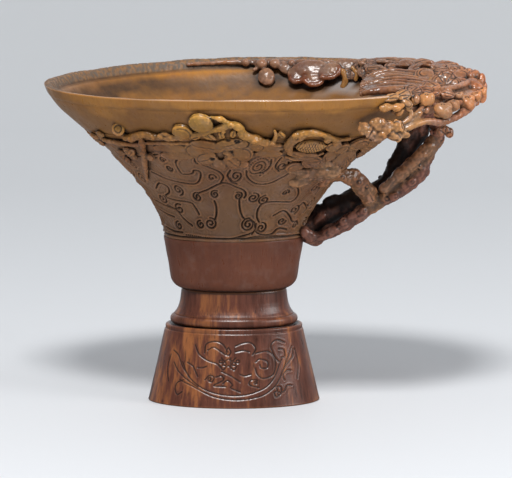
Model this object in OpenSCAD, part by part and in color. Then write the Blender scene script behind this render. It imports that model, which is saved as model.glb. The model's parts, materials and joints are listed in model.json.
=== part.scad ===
// Carved horn drinking cup that stands loose on an oval wooden stand.
// The axis is +Z, the pouring lip points to -X and the branch handle to +X.
// The origin is the centre of the stand's foot, on the table.

/* [Bowl] */
// Height of the rim above the table
rim_height = 110; // [100:1:125]
// From the axis to the tip of the pouring lip
spout_reach = 64; // [56:0.5:72]
// From the axis to the right end of the mouth
mouth_reach = 68; // [60:0.5:74]
// Half of the mouth from front to back
mouth_half = 53.5; // [46:0.5:58]
// How far the mouth's widest line lies to the right of the axis
mouth_shift = 10.5; // [4:0.5:14]
// How far the pouring lip's tip lies below the rim
spout_dip = 1.5; // [0:0.1:4]
// Wall of the bowl at the rim
lip_wall = 3.4; // [2.6:0.1:4.5]
// Wall of the bowl at the bottom of the hollow
floor_wall = 6; // [4.5:0.1:8]
// Depth of the hollow below the rim
hollow_depth = 48; // [40:1:50]
// Height of the worn bevel inside the rim
bevel_rise = 2.4; // [1:0.1:4]

/* [Heel] */
// Height of the line between the plain heel and the carved wall
waist_height = 56.6; // [54:0.1:58]
// Half length of the carved wall at that line
waist_half = 23.6; // [22:0.1:25]
// Half length of the heel's upper edge
heel_top_half = 23.9; // [22.5:0.1:26]
// Half length of the heel where its rounding starts
heel_low_half = 21.6; // [20.5:0.1:22.4]
// Radius of the heel's rounded lower edge
heel_round = 4.6; // [3:0.1:5]
// Length of the boss that stands in the stand's socket
boss_drop = 2.6; // [1.5:0.1:4]
// Half length of that boss
boss_half = 12.5; // [10:0.1:13]

/* [Stand] */
// Height of the stand, up to the face that carries the cup
stand_height = 38.7; // [36:0.1:42]
// Height of the foot
foot_height = 26.5; // [22:0.1:28]
// Half length of the foot at the table
foot_half = 29.3; // [26:0.1:33]
// Half length of the foot's shoulder
shoulder_half = 23.4; // [22.6:0.1:25]
// Height of the small bead on the shoulder
bead_rise = 1.3; // [0.8:0.1:2]
// Height of the ring moulding
ring_rise = 3.2; // [2.4:0.1:4]
// Half length of the ring moulding
ring_half = 21.7; // [20.5:0.1:22.3]
// Half length of the neck at its top
neck_top_half = 17.9; // [16.5:0.1:19]
// Radius of the hidden tenon under the neck
tenon_r = 7; // [5:0.1:8]
// Length of the hidden tenon below the ring
tenon_drop = 10; // [6:0.5:14]
// Depth to length of every oval section from the foot to the waist
oval_share = 0.66; // [0.6:0.01:0.75]

/* [Branches] */
// Radius of the handle's boughs
bough_girth = 2.9; // [2.4:0.1:3.3]
// From the axis to the outside of the handle
handle_reach = 70; // [66:0.5:74]
// Distance between the front and the back bough
handle_span = 8; // [6.5:0.1:9.5]
// How far the canopy reaches past the rim
canopy_reach = 17.5; // [14:0.5:20]
// Radius of the branches in relief
twig_girth = 1.5; // [1.1:0.1:1.9]
// Size of a petal from its root to its tip
petal_long = 4.2; // [3:0.1:5.5]
// Height of a petal or leaf above the wall
petal_rise = 1.5; // [1:0.1:2.2]
// Radius of a round bud of the canopy
bud_r = 2.3; // [1.8:0.1:2.8]
// Half length of the seed pod
pod_half = 4.8; // [3.6:0.1:5.6]

/* [Fit] */
// Gap round the boss, the tenon and the ring
fit_gap = 0.3; // [0.2:0.05:0.5]

/* [Hidden] */
$fn = 96;

// One overrun serves all cuts
overrun = 1;
// Segments round the bowl, sides of a branch and a ridge, and points on the edge of a petal
bowl_segments = 40;
bough_sides = 8;
twig_sides = 6;
ridge_sides = 5;
petal_points = 3;
full_turn = 360;
wall_rise = rim_height - waist_height;
handle_rise = wall_rise * 0.81;
socket_drop = boss_drop + fit_gap;

// Height share and flare share of the wall, from the waist to the rim
flare_shares = [
    [0, 0], [0.12, 0.045], [0.25, 0.14], [0.33, 0.215], [0.44, 0.335], [0.55, 0.47],
    [0.66, 0.61], [0.8, 0.81], [0.87, 0.905], [0.93, 0.965], [1, 1]
];
// Depth share of the hollow and the share of its full width there
hollow_shares = [[0.16, 1], [0.43, 1], [0.7, 0.99], [0.86, 0.9], [0.96, 0.66], [1, 0.34]];
// Roundness of the mouth's right half, where 2 is an ellipse
blunt_share = 2.6;

function unit(v) = v / norm(v);
function between(a, b, share) = a + (b - a) * share;
function flare(h) = lookup(h, flare_shares);
function lobe(v, power) = sign(v) * pow(abs(v), power);

// A point of the bowl's outer wall at height share h and angle t, moved level outwards by out
function wall_point(h, t, out = 0) =
    let (
        f = flare(h),
        middle = mouth_shift * f,
        left = between(waist_half, spout_reach, f) + middle + out,
        right = between(waist_half, mouth_reach, f) - middle + out,
        deep = between(waist_half * oval_share, mouth_half, f) + out,
        power = cos(t) < 0 ? 1 : 2 / between(2, blunt_share, f),
        dip = spout_dip * pow(sin(full_turn / 4 * max(0, -cos(t))), 2)
    )
    [
        middle + (cos(t) < 0 ? left : right) * lobe(cos(t), power),
        deep * lobe(sin(t), power),
        waist_height + h * (wall_rise - dip * h * h)
    ];

function wall_normal(h, t) =
    let (
        low = min(h, 0.96),
        round_step = wall_point(low, t + 2) - wall_point(low, t - 2),
        rise_step = wall_point(low + 0.02, t) - wall_point(low - 0.02, t)
    )
    unit(cross(round_step, rise_step));

// A point that stands off the wall by a real height, square to the wall
function off_wall(h, t, height) = wall_point(h, t) + height * wall_normal(h, t);

// Rings of points become one closed solid
function side_faces(rings, n) = [
    for (i = [0:rings - 2], k = [0:n - 1], half = [0, 1])
        half == 0
            ? [i * n + k, (i + 1) * n + k, (i + 1) * n + (k + 1) % n]
            : [i * n + k, (i + 1) * n + (k + 1) % n, i * n + (k + 1) % n]
];

module skin(rings) {
    n = len(rings[0]);
    last = (len(rings) - 1) * n;
    polyhedron(
        [for (r = rings, p = r) p],
        concat(
            [[for (k = [0:n - 1]) k]],
            side_faces(len(rings), n),
            [[for (k = [n - 1:-1:0]) last + k]]
        ),
        convexity = 8
    );
}

// A smooth way through knots, each [x, y, z, radius]
function way(a, b, c, d, s) =
    (2 * b + (c - a) * s + (2 * a - 5 * b + 4 * c - d) * s * s + (3 * b - a - 3 * c + d) * s * s * s) / 2;
function smooth(knots, steps) = [
    for (i = [0:len(knots) - 2], s = [0:steps - 1])
        way(knots[max(i - 1, 0)], knots[i], knots[i + 1], knots[min(i + 2, len(knots) - 1)], s / steps),
    knots[len(knots) - 1]
];
function place(p) = [p[0], p[1], p[2]];
function heading(path, i) =
    unit(place(path[min(i + 1, len(path) - 1)]) - place(path[max(i - 1, 0)]));

// A branch: a tube through knots, broader along upright, with its first and last ring drawn in
module branch(knots, upright = [0, 1, 0], steps = 1, sides = twig_sides, broad = 1) {
    path = smooth(knots, steps);
    last = len(path) - 1;
    skin([
        for (i = [0:last])
            let (
                t = heading(path, i),
                s = unit(cross(t, upright)),
                u = cross(t, s),
                r = path[i][3] * (i == 0 || i == last ? 0.7 : 1)
            )
            [for (k = [0:sides - 1])
                place(path[i]) + r * (cos(full_turn * k / sides) * s + broad * sin(full_turn * k / sides) * u)]
    ]);
}

// Knots on the wall from a table of [angle, height share, standing share, girth share]
function on_wall(table) = [
    for (r = table) concat(off_wall(r[1], r[0], r[2] * twig_girth), r[3] * twig_girth)
];
// Knots of the handle from a table of [reach share, span share, rise share, girth share]
function on_handle(table) = [
    for (r = table)
        [r[0] * handle_reach, r[1] * handle_span, waist_height + r[2] * handle_rise, r[3] * bough_girth]
];
// Knots of the canopy from a table of [angle, reach share, height share, girth share]
function on_canopy(table) = [
    for (r = table) concat(wall_point(r[2], r[0], r[1] * canopy_reach), r[3] * bough_girth)
];

// Children lie on point p, with their Z along n and their X turned by spin from the level
module seated(p, n, spin) {
    level = unit(cross([0, 0, 1], n));
    up = cross(n, level);
    a = cos(spin) * level + sin(spin) * up;
    b = cross(n, a);
    multmatrix([[a[0], b[0], n[0], p[0]], [a[1], b[1], n[1], p[1]], [a[2], b[2], n[2], p[2]]])
        children();
}
module on_wall_at(t, h, spin = 0) seated(wall_point(h, t), wall_normal(h, t), spin) children();

// How deep the notch between two petals goes, and how far a head reaches behind its root
notch_share = 0.5;
root_share = 0.3;
// Rings of a head of petals and of a flower: [reach share, height share, how far the ring follows the notches]
head_ring_shares = [[0.7, -1, 0], [1, 0.1, 1], [0.7, 0.95, 1]];
flower_ring_shares = [[0.7, -1, 0], [1, 0.1, 1], [0.76, 0.95, 1], [0.42, 0.6, 0], [0.26, 1.3, 0]];
// Points of a head's edge, [angle, reach share], petal by petal and then round the root
function head_edge(petals, open) = concat(
    [
        for (i = [0:petals - 1], j = [0:petal_points - 1])
            let (s = (j + 0.5) / petal_points)
            [open * ((i + s) / petals - 0.5), 1 - notch_share * pow(2 * s - 1, 2) - 0.06 * (i % 2)]
    ],
    open < full_turn
        ? [for (s = [0.3, 0.7]) [open / 2 + (full_turn - open) * s, root_share]]
        : []
);
// A domed head of petals, a leaf spray or a fungus head, open over an angle and sunk at its root
module head(size, petals, open = 210, rise = petal_rise, rings = head_ring_shares) {
    edge = head_edge(petals, open);
    skin([
        for (ring = rings) [
            for (e = edge)
                let (reach = size * ring[0] * between(root_share + 0.4, e[1], ring[2]))
                [reach * cos(e[0]), reach * sin(e[0]), rise * ring[1]]
        ]
    ]);
}
module bud(r) {
    hull() {
        sphere(r, $fn = 8);
        translate([0, 0, r * 0.35]) sphere(r * 0.8, $fn = 6);
    }
}
// A sawn-off knot that stands out of a bough
module knot(r) {
    hull() {
        sphere(r, $fn = 6);
        translate([0, 0, r * 0.9]) cylinder(h = r * 0.25, r = r * 0.6, $fn = 6);
    }
}

// The oval parts turn a profile and draw it in from front to back
module oval() {
    scale([1, oval_share, 1]) rotate_extrude() children();
}
function arc(x, z, r, from, to, steps) = [
    for (i = [0:steps]) [x + r * cos(between(from, to, i / steps)), z + r * sin(between(from, to, i / steps))]
];

// Bowl
function hollow_ring(depth, width) =
    let (
        h = 1 - depth * hollow_depth / wall_rise,
        wall = between(lip_wall, floor_wall, depth)
    )
    [for (k = [0:bowl_segments - 1])
        let (p = wall_point(h, full_turn * k / bowl_segments, -wall), middle = mouth_shift * flare(h))
        [middle + (p[0] - middle) * width, p[1] * width, p[2]]];
function wall_ring(h, out = 0, rise = 0) = [
    for (k = [0:bowl_segments - 1]) wall_point(h, full_turn * k / bowl_segments, out) + [0, 0, rise]
];
function outer_rings() = [for (s = flare_shares) wall_ring(s[0])];

module bowl_solid() {
    lip = lip_wall / 2;
    skin(concat(
        outer_rings(),
        [
            wall_ring(1, -lip * 0.15, lip * 0.16),
            wall_ring(1, -lip * 0.6, lip * 0.24),
            wall_ring(1, -lip * 1.1, lip * 0.06),
            wall_ring(1, -lip_wall * 1.15, -bevel_rise)
        ],
        [for (s = hollow_shares) hollow_ring(s[0], s[1])]
    ));
}
function heel_ring(half, z) = [
    for (k = [0:bowl_segments - 1])
        let (a = full_turn * k / bowl_segments)
        [half * cos(a), half * oval_share * sin(a), z]
];
// The cup's body as a block without its hollow, from the middle of the heel to the rim
module bowl_block() {
    skin(concat(
        [
            heel_ring(between(heel_low_half, heel_top_half, 0.5) + overrun / 20, between(stand_height, waist_height, 0.5)),
            heel_ring(heel_top_half + overrun / 20, waist_height)
        ],
        outer_rings(),
        [wall_ring(1, -lip_wall, lip_wall / 4)]
    ));
}
module cup_bowl() {
    color("peru") bowl_solid();
}

// Heel
module heel_profile() {
    polygon(concat(
        [[0, stand_height - boss_drop], [boss_half, stand_height - boss_drop], [boss_half, stand_height]],
        arc(
            heel_low_half - heel_round, stand_height + heel_round, heel_round, -90, -8, 6
        ),
        [[heel_top_half, waist_height], [0, waist_height]]
    ));
}
module cup_heel() {
    color("saddlebrown") oval() heel_profile();
}

// Stand
module stand_foot() {
    lip = bead_rise / 2;
    color("sienna") difference() {
        oval() polygon(concat(
            [[0, -overrun], [foot_half - lip, -overrun], [foot_half - lip, 0], [foot_half, lip]],
            [[between(foot_half, shoulder_half, 0.52) - lip / 2, foot_height / 2]],
            [[shoulder_half, foot_height - bead_rise]],
            arc(shoulder_half - bead_rise, foot_height - bead_rise, bead_rise, 20, 90, 3),
            [[ring_half + fit_gap, foot_height], [ring_half + fit_gap, foot_height - lip], [0, foot_height - lip]]
        ));
        translate([-foot_half - overrun, -foot_half - overrun, -2 * overrun])
            cube([2 * (foot_half + overrun), 2 * (foot_half + overrun), 2 * overrun]);
        translate([0, 0, foot_height - lip - tenon_drop - fit_gap])
            cylinder(h = tenon_drop + fit_gap + overrun, r = tenon_r + fit_gap / 3);
    }
}
module stand_neck() {
    low = foot_height - bead_rise / 2;
    ring_top = foot_height + ring_rise;
    rise = stand_height - ring_top;
    color("sienna") difference() {
        union() {
            oval() polygon(concat(
                [[0, low], [ring_half - ring_rise / 3, low]],
                arc(ring_half - ring_rise / 2, foot_height + ring_rise / 2, ring_rise / 2, -80, 80, 5),
                [
                    [between(ring_half, neck_top_half, 0.2), ring_top + rise * 0.1],
                    [between(ring_half, neck_top_half, 0.55), ring_top + rise * 0.3],
                    [between(ring_half, neck_top_half, 0.79), ring_top + rise * 0.52],
                    [between(ring_half, neck_top_half, 0.92), ring_top + rise * 0.78],
                    [neck_top_half, stand_height - fit_gap],
                    [neck_top_half - fit_gap, stand_height], [0, stand_height]
                ]
            ));
            translate([0, 0, low - tenon_drop]) cylinder(h = tenon_drop + ring_rise, r = tenon_r);
        }
        translate([0, 0, stand_height - socket_drop]) scale([1, oval_share, 1])
            cylinder(h = socket_drop + overrun, r = boss_half + fit_gap);
    }
}

// Handle tables of [reach share, span share, rise share, girth share]
front_bough_shares = [
    [0.30, -0.1, -0.02, 0.6], [0.40, -0.15, -0.01, 0.75], [0.466, -0.25, 0.03, 0.85], [0.573, -0.35, 0.135, 0.9],
    [0.70, -0.4, 0.255, 0.92], [0.816, -0.4, 0.38, 1.15], [0.894, -0.35, 0.498, 1.05], [0.923, -0.3, 0.594, 0.95],
    [0.961, -0.25, 0.705, 1.1], [0.995, -0.2, 0.816, 1.0], [0.985, -0.1, 0.91, 1.1], [0.95, 0, 0.99, 1.2]
];
inner_bough_shares = [
    [0.749, -0.45, 0.40, 0.7], [0.80, -0.6, 0.51, 0.85], [0.885, -0.6, 0.61, 0.85], [0.955, -0.35, 0.69, 0.8]
];
back_bough_shares = [
    [0.32, 0.2, 0.03, 1.0], [0.42, 0.5, 0.10, 1.2], [0.539, 0.65, 0.185, 1.4], [0.636, 0.65, 0.267, 1.25],
    [0.733, 0.6, 0.403, 1.05], [0.781, 0.6, 0.53, 1.15], [0.83, 0.6, 0.64, 1.3], [0.872, 0.56, 0.744, 1.38],
    [0.903, 0.5, 0.848, 1.4], [0.93, 0.4, 0.95, 1.3]
];
fork_shares = [
    [0.44, -1.7, 0.52, 1.3], [0.50, -1.35, 0.50, 1.2], [0.573, -0.95, 0.455, 1.1], [0.636, -0.7, 0.39, 1.1],
    [0.675, -0.5, 0.32, 1.1], [0.69, -0.42, 0.29, 1.0]
];
fork_knot_shares = [
    [0.50, -1.5, 0.53, 0.7, 30], [0.55, -1.3, 0.44, 0.6, 150], [0.58, -1.0, 0.48, 0.7, 60], [0.6, -1.1, 0.4, 0.55, 170],
    [0.63, -0.95, 0.42, 0.7, 80], [0.655, -0.8, 0.33, 0.6, 140], [0.47, -1.75, 0.47, 0.6, 200], [0.66, -0.8, 0.37, 0.55, 40]
];
// Knots on the boughs: [reach share, span share, rise share, size share, turn about Y]
bough_knot_shares = [
    [0.53, -0.7, 0.13, 0.75, 60], [0.62, -0.6, 0.2, 0.6, 150], [0.78, -0.75, 0.35, 0.7, 120],
    [0.87, -0.7, 0.45, 0.6, 100], [0.93, -0.6, 0.66, 0.8, 60], [1.01, -0.3, 0.76, 0.7, 80],
    [0.68, -0.7, 0.24, 0.7, 160], [0.9, -0.65, 0.55, 0.5, 40]
];
back_knot_shares = [
    [0.48, 1.1, 0.17, 0.8, -60], [0.6, 1.15, 0.27, 0.7, -30], [0.7, 0.9, 0.42, 0.7, -90],
    [0.76, 1.05, 0.5, 0.7, -70], [0.84, 1.1, 0.66, 0.8, -90], [0.9, 1.05, 0.8, 0.8, 60],
    [0.56, 0.9, 0.1, 0.6, 180], [0.8, 0.9, 0.58, 0.6, 90]
];
// The root end: toes from the wall along the underside of the boughs, then burrs on them
root_toe_shares = [
    [[0.34, -0.6, 0.05, 0.55], [0.385, -0.6, 0.0, 0.65], [0.43, -0.55, 0.01, 0.65], [0.49, -0.5, 0.06, 0.5]],
    [[0.325, 0.75, 0.07, 0.7], [0.38, 0.75, 0.03, 0.8], [0.44, 0.7, 0.05, 0.7], [0.50, 0.6, 0.10, 0.5]],
    [[0.352, 0.06, 0.0, 0.72], [0.385, 0.1, -0.03, 0.8], [0.42, 0.1, -0.01, 0.7], [0.47, 0.1, 0.05, 0.5]]
];
root_burr_shares = [
    [0.39, -0.75, 0.0, 0.5, 200], [0.385, 0.95, 0.02, 0.5, 170], [0.41, 0.2, -0.045, 0.5, 180]
];

module knots_at(table, size) {
    for (r = table)
        translate([r[0] * handle_reach, r[1] * handle_span, waist_height + r[2] * handle_rise])
            rotate([0, r[4], 0]) knot(r[3] * size);
}
module front_boughs() {
    branch(on_handle(front_bough_shares), steps = 2, sides = bough_sides, broad = 1.35);
    branch(on_handle(inner_bough_shares), steps = 2);
    knots_at(bough_knot_shares, bough_girth);
}
module back_boughs() {
    branch(on_handle(back_bough_shares), steps = 2, sides = bough_sides, broad = 1.2);
    knots_at(back_knot_shares, bough_girth);
}
module handle_bough() {
    color("brown") difference() {
        front_boughs();
        bowl_block();
    }
}
module handle_back_bough() {
    color("brown") difference() {
        back_boughs();
        front_boughs();
        bowl_block();
    }
}
module fork_solid() {
    branch(on_handle(fork_shares), steps = 2, broad = 1.2);
    knots_at(fork_knot_shares, bough_girth);
}
module handle_fork() {
    color("brown") difference() {
        fork_solid();
        front_boughs();
        back_boughs();
        bowl_block();
    }
}
module handle_root() {
    color("brown") difference() {
        union() {
            for (toe = root_toe_shares) branch(on_handle(toe), steps = 2);
            knots_at(root_burr_shares, bough_girth);
        }
        front_boughs();
        back_boughs();
        bowl_block();
    }
}

// Canopy tables of [angle, reach share, height share, girth share]
canopy_front_shares = [
    [-46, 0.0, 0.78, 0.5], [-38, 0.2, 0.80, 0.6], [-29, 0.4, 0.83, 0.7], [-20, 0.62, 0.87, 0.75], [-11, 0.8, 0.91, 0.75],
    [-3, 0.88, 0.97, 0.7], [6, 0.84, 1.01, 0.6]
];
canopy_back_shares = [
    [50, 0.0, 0.84, 0.5], [40, 0.2, 0.85, 0.65], [30, 0.42, 0.87, 0.7], [20, 0.62, 0.9, 0.75], [11, 0.78, 0.94, 0.7],
    [2, 0.86, 0.99, 0.6]
];
canopy_rim_shares = [
    [-48, 0.05, 0.93, 0.5], [-39, 0.14, 0.95, 0.7], [-28, 0.26, 0.97, 0.8], [-15, 0.36, 0.98, 0.9], [0, 0.42, 0.99, 0.95],
    [15, 0.36, 0.99, 0.9], [30, 0.24, 0.99, 0.8], [44, 0.12, 0.98, 0.65], [54, 0.02, 0.97, 0.5]
];
// Short branches that tie the strands together
canopy_tie_shares = [
    [[-31, 0.36, 0.82, 0.45], [-30, 0.32, 0.89, 0.45], [-30, 0.25, 0.97, 0.45]],
    [[-19, 0.64, 0.87, 0.5], [-18, 0.52, 0.93, 0.5], [-17, 0.36, 0.99, 0.5]],
    [[-4, 0.88, 0.97, 0.5], [-3, 0.64, 0.99, 0.55], [-2, 0.42, 1.0, 0.55]],
    [[3, 0.0, 0.86, 1.1], [2, 0.22, 0.92, 1.0], [0, 0.42, 0.99, 0.8]],
    [[18, 0.64, 0.91, 0.5], [18, 0.5, 0.95, 0.5], [16, 0.36, 1.0, 0.5]],
    [[33, 0.36, 0.87, 0.45], [32, 0.3, 0.93, 0.45], [31, 0.25, 1.0, 0.45]],
    [[-9, 0.0, 0.84, 0.9], [-9, 0.4, 0.87, 0.75], [-10, 0.8, 0.92, 0.6]],
    [[9, 0.0, 0.86, 0.9], [9, 0.4, 0.9, 0.7], [8, 0.78, 0.95, 0.6]]
];
module canopy_net() {
    branch(on_canopy(canopy_front_shares), [0, 0, 1]);
    branch(on_canopy(canopy_back_shares), [0, 0, 1]);
    branch(on_canopy(canopy_rim_shares), [0, 0, 1]);
    for (tie = canopy_tie_shares) branch(on_canopy(tie), [0, 1, 0]);
}
module canopy_boughs() {
    color("chocolate") difference() {
        canopy_net();
        front_boughs();
        back_boughs();
        bowl_solid();
    }
}
// Fans: [angle, reach share, height share, size share, lobes, spin, upright share]
fan_shares = [
    [-36, 0.26, 0.965, 1.6, 3, -75, 0.5], [-24, 0.42, 0.985, 1.8, 4, -95, 0.55], [-12, 0.52, 1.0, 1.9, 4, -74, 0.62],
    [1, 0.56, 1.014, 1.95, 4, -97, 0.68], [14, 0.5, 1.018, 1.85, 4, -84, 0.7], [27, 0.36, 1.01, 1.75, 3, -100, 0.66],
    [40, 0.2, 1.0, 1.6, 3, -70, 0.6]
];
// Ridges of rock over the right end of the mouth: [reach share, side share, height share, girth share]
rock_shares = [
    [[0.68, 0.28, 0.985, 1.1], [0.77, 0.26, 1.01, 1.2], [0.90, 0.22, 1.0, 1.1]],
    [[0.655, 0.18, 0.985, 1.1], [0.74, 0.17, 1.01, 1.2], [0.95, 0.11, 1.0, 1.1]],
    [[0.64, 0.07, 0.98, 1.1], [0.74, 0.06, 1.0, 1.2], [0.97, 0.0, 1.0, 1.1]],
    [[0.63, -0.05, 0.975, 1.1], [0.74, -0.07, 0.995, 1.2], [0.96, -0.12, 0.99, 1.1]],
    [[0.63, -0.2, 0.96, 1.1], [0.74, -0.21, 0.985, 1.2], [0.93, -0.26, 0.985, 1.1]],
    [[0.65, -0.3, 0.955, 1.2], [0.75, -0.31, 0.975, 1.3], [0.90, -0.34, 0.975, 1.2]]
];
module rock() {
    for (ridge = rock_shares)
        branch([
            for (r = ridge)
                [r[0] * mouth_reach, r[1] * mouth_half, waist_height + r[2] * wall_rise, r[3] * twig_girth]
        ], sides = ridge_sides, broad = 1.9);
}
module fans() {
    rock();
    for (r = fan_shares) {
        level = wall_normal(0.9, r[0]);
        lean = unit((1 - r[6]) * unit([level[0], level[1], 0]) + r[6] * [0, 0, 1]);
        seated(wall_point(r[2], r[0], r[1] * canopy_reach) + lean * bough_girth * 0.3, lean, r[5])
            head(petal_long * r[3], r[4], 230, petal_rise * 1.3);
    }
}
module canopy_fans() {
    color("chocolate") difference() {
        fans();
        buds();
        canopy_net();
        front_boughs();
        back_boughs();
        bowl_solid();
    }
}
// Buds: [angle, reach share, height share, size share]
bud_shares = [
    [-36, 0.3, 0.9, 0.95], [-27, 0.42, 0.925, 1.05], [-19, 0.72, 0.91, 1.0], [-12, 0.88, 0.945, 1.05],
    [-25, 0.28, 1.02, 1.0], [-4, 1.0, 1.0, 0.85], [6, 0.98, 0.98, 0.85], [20, 0.7, 0.98, 0.95], [31, 0.5, 0.97, 0.9],
    [-40, 0.18, 0.94, 0.85]
];
module buds() {
    for (r = bud_shares)
        translate(wall_point(r[2], r[0], r[1] * canopy_reach)) bud(bud_r * r[3]);
}
module canopy_buds() {
    color("orange") difference() {
        buds();
        canopy_net();
        front_boughs();
        back_boughs();
        bowl_solid();
    }
}

// Relief tables of [angle, height share, standing share, girth share]
front_branch_shares = [
    [-137, 0.77, 0.7, 1.5], [-136, 0.735, 0.5, 1.0], [-132, 0.745, 0.6, 1.0], [-128, 0.77, 0.7, 1.0],
    [-123, 0.755, 0.5, 0.9], [-116, 0.755, 0.5, 0.9], [-108, 0.795, 0.6, 1.0], [-102, 0.855, 0.7, 1.0],
    [-98.5, 0.875, 0.9, 1.1], [-95.5, 0.83, 0.9, 1.1], [-94, 0.77, 0.8, 1.05], [-90, 0.745, 0.8, 1.15],
    [-87, 0.725, 0.6, 0.9], [-86, 0.77, 0.7, 0.6], [-87.5, 0.825, 0.8, 0.35]
];
hanging_twig_shares = [
    [-130, 0.73, 0.3, 0.7], [-131, 0.67, 0.45, 0.8], [-135, 0.58, 0.45, 0.75], [-140, 0.49, 0.4, 0.65],
    [-146, 0.41, 0.3, 0.5]
];
pod_branch_shares = [
    [-74, 0.60, 0.3, 0.8], [-79, 0.655, 0.6, 1.0], [-81.5, 0.72, 0.8, 1.1], [-81, 0.78, 0.8, 1.1], [-77, 0.80, 0.7, 1.0],
    [-72, 0.785, 0.6, 1.0], [-65, 0.745, 0.5, 0.9], [-57, 0.705, 0.5, 0.9], [-48, 0.65, 0.5, 1.1], [-38, 0.56, 0.4, 1.3]
];
front_knot_shares = [
    [-126, 0.77, 1.1, 0.8], [-98.5, 0.87, 1.3, 0.8], [-92, 0.755, 1.2, 0.7], [-131, 0.60, 0.9, 0.8],
    [-80, 0.79, 1.2, 0.8], [-62, 0.725, 1.0, 0.7], [-137, 0.77, 1.4, 1.0], [-113, 0.76, 0.9, 0.7]
];
module relief_knots(table) {
    for (r = table) translate(off_wall(r[1], r[0], r[2] * twig_girth)) knot(r[3] * twig_girth);
}
module front_net() {
    branch(on_wall(front_branch_shares));
    branch(on_wall(hanging_twig_shares));
    branch(on_wall(pod_branch_shares));
    relief_knots(front_knot_shares);
}
module front_branch() {
    color("peru") difference() {
        front_net();
        bowl_block();
    }
}
// Blossoms: [angle, height share, size share, petals, opening, spin]
front_blossom_shares = [
    [-112.5, 0.79, 1.2, 3, 200, 105], [-106.5, 0.85, 1.63, 3, 190, 86], [-101, 0.885, 1.0, 3, 180, 66],
    [-101, 0.635, 1.5, 5, 360, 90], [-109, 0.635, 1.05, 4, 300, 200], [-93.5, 0.645, 1.05, 4, 300, -20]
];
module blossoms(table) {
    for (r = table)
        on_wall_at(r[0], r[1], r[5]) head(petal_long * r[2], r[3], r[4], rings = flower_ring_shares);
}
module front_blossoms() {
    color("peru") difference() {
        blossoms(front_blossom_shares);
        front_net();
        bowl_block();
    }
}
// Leaf sprays: [angle, height share, size share, lobes, opening, spin]
front_leaf_shares = [
    [-55, 0.62, 1.3, 4, 220, 30], [-47, 0.70, 1.4, 4, 220, 60], [-39, 0.74, 1.5, 4, 240, 78.5], [-27, 0.74, 1.4, 4, 220, 52],
    [-36, 0.645, 1.3, 3, 220, -20]
];
module leaves(table) {
    for (r = table) on_wall_at(r[0], r[1], r[5]) head(petal_long * r[2], r[3], r[4]);
}
module front_leaves() {
    color("peru") difference() {
        leaves(front_leaf_shares);
        front_net();
        canopy_net();
        blossoms(front_blossom_shares);
        fork_solid();
        bowl_block();
    }
}
// The pod is ribbed round its length
pod_place_shares = [-70, 0.69];
pod_ribs = 5;
module seed_pod() {
    t = pod_place_shares[0];
    h = pod_place_shares[1];
    color("goldenrod") difference() {
        on_wall_at(t, h, 0) {
            scale([1, 0.52, 0.5]) sphere(pod_half, $fn = 14);
            for (i = [0:pod_ribs - 1]) {
                x = pod_half * (2 * (i + 0.5) / pod_ribs - 1) * 0.9;
                reach = sqrt(1 - pow(x / pod_half, 2)) * pod_half;
                hull() for (side = [-1, 1])
                    translate([x, side * reach * 0.3, pod_half * 0.08]) sphere(reach * 0.4, $fn = 6);
            }
            hull() {
                translate([pod_half * 0.9, 0, 0]) sphere(pod_half * 0.3, $fn = 8);
                translate([pod_half * 1.2, 0, 0]) sphere(pod_half * 0.15, $fn = 8);
            }
        }
        front_net();
        bowl_block();
    }
}

// The far side: a branch with blossoms that mirrors the front with its own turns
back_branch_shares = [
    [141, 0.66, 0.4, 0.6], [134, 0.71, 0.6, 0.9], [127, 0.745, 0.6, 1.0], [119, 0.73, 0.6, 1.0], [111, 0.70, 0.5, 1.0],
    [104, 0.73, 0.6, 1.1], [98, 0.79, 0.8, 1.1], [92, 0.83, 0.9, 1.1], [87, 0.79, 0.8, 1.1], [82, 0.73, 0.7, 1.1],
    [75, 0.70, 0.6, 1.1], [67, 0.73, 0.6, 1.1], [58, 0.77, 0.6, 1.1], [48, 0.80, 0.6, 1.1], [38, 0.80, 0.5, 1.2]
];
back_twig_shares = [
    [109, 0.70, 0.3, 0.8], [107, 0.63, 0.45, 0.8], [109, 0.56, 0.45, 0.7], [113, 0.50, 0.35, 0.5]
];
back_low_shares = [
    [78, 0.70, 0.3, 0.8], [72, 0.63, 0.5, 0.9], [63, 0.58, 0.5, 0.9], [52, 0.56, 0.5, 1.0], [40, 0.52, 0.4, 1.2]
];
back_net_knot_shares = [
    [130, 0.735, 1.1, 0.8], [101, 0.76, 1.2, 0.8], [90, 0.82, 1.3, 0.8], [62, 0.755, 1.1, 0.8], [53, 0.79, 1.1, 0.8],
    [58, 0.57, 0.9, 0.7], [115, 0.715, 1.0, 0.7], [78, 0.71, 1.1, 0.7]
];
module back_net() {
    branch(on_wall(back_branch_shares));
    branch(on_wall(back_twig_shares));
    branch(on_wall(back_low_shares));
    relief_knots(back_net_knot_shares);
}
module back_branch() {
    color("peru") difference() {
        back_net();
        canopy_net();
        bowl_block();
    }
}
back_blossom_shares = [
    [122, 0.80, 1.3, 5, 360, 10], [96, 0.66, 1.5, 5, 360, 40], [82, 0.87, 1.2, 4, 300, 90], [66, 0.66, 1.3, 5, 360, 20],
    [50, 0.68, 1.2, 4, 360, 30]
];
module back_blossoms() {
    color("peru") difference() {
        blossoms(back_blossom_shares);
        back_net();
        canopy_net();
        bowl_block();
    }
}

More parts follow.
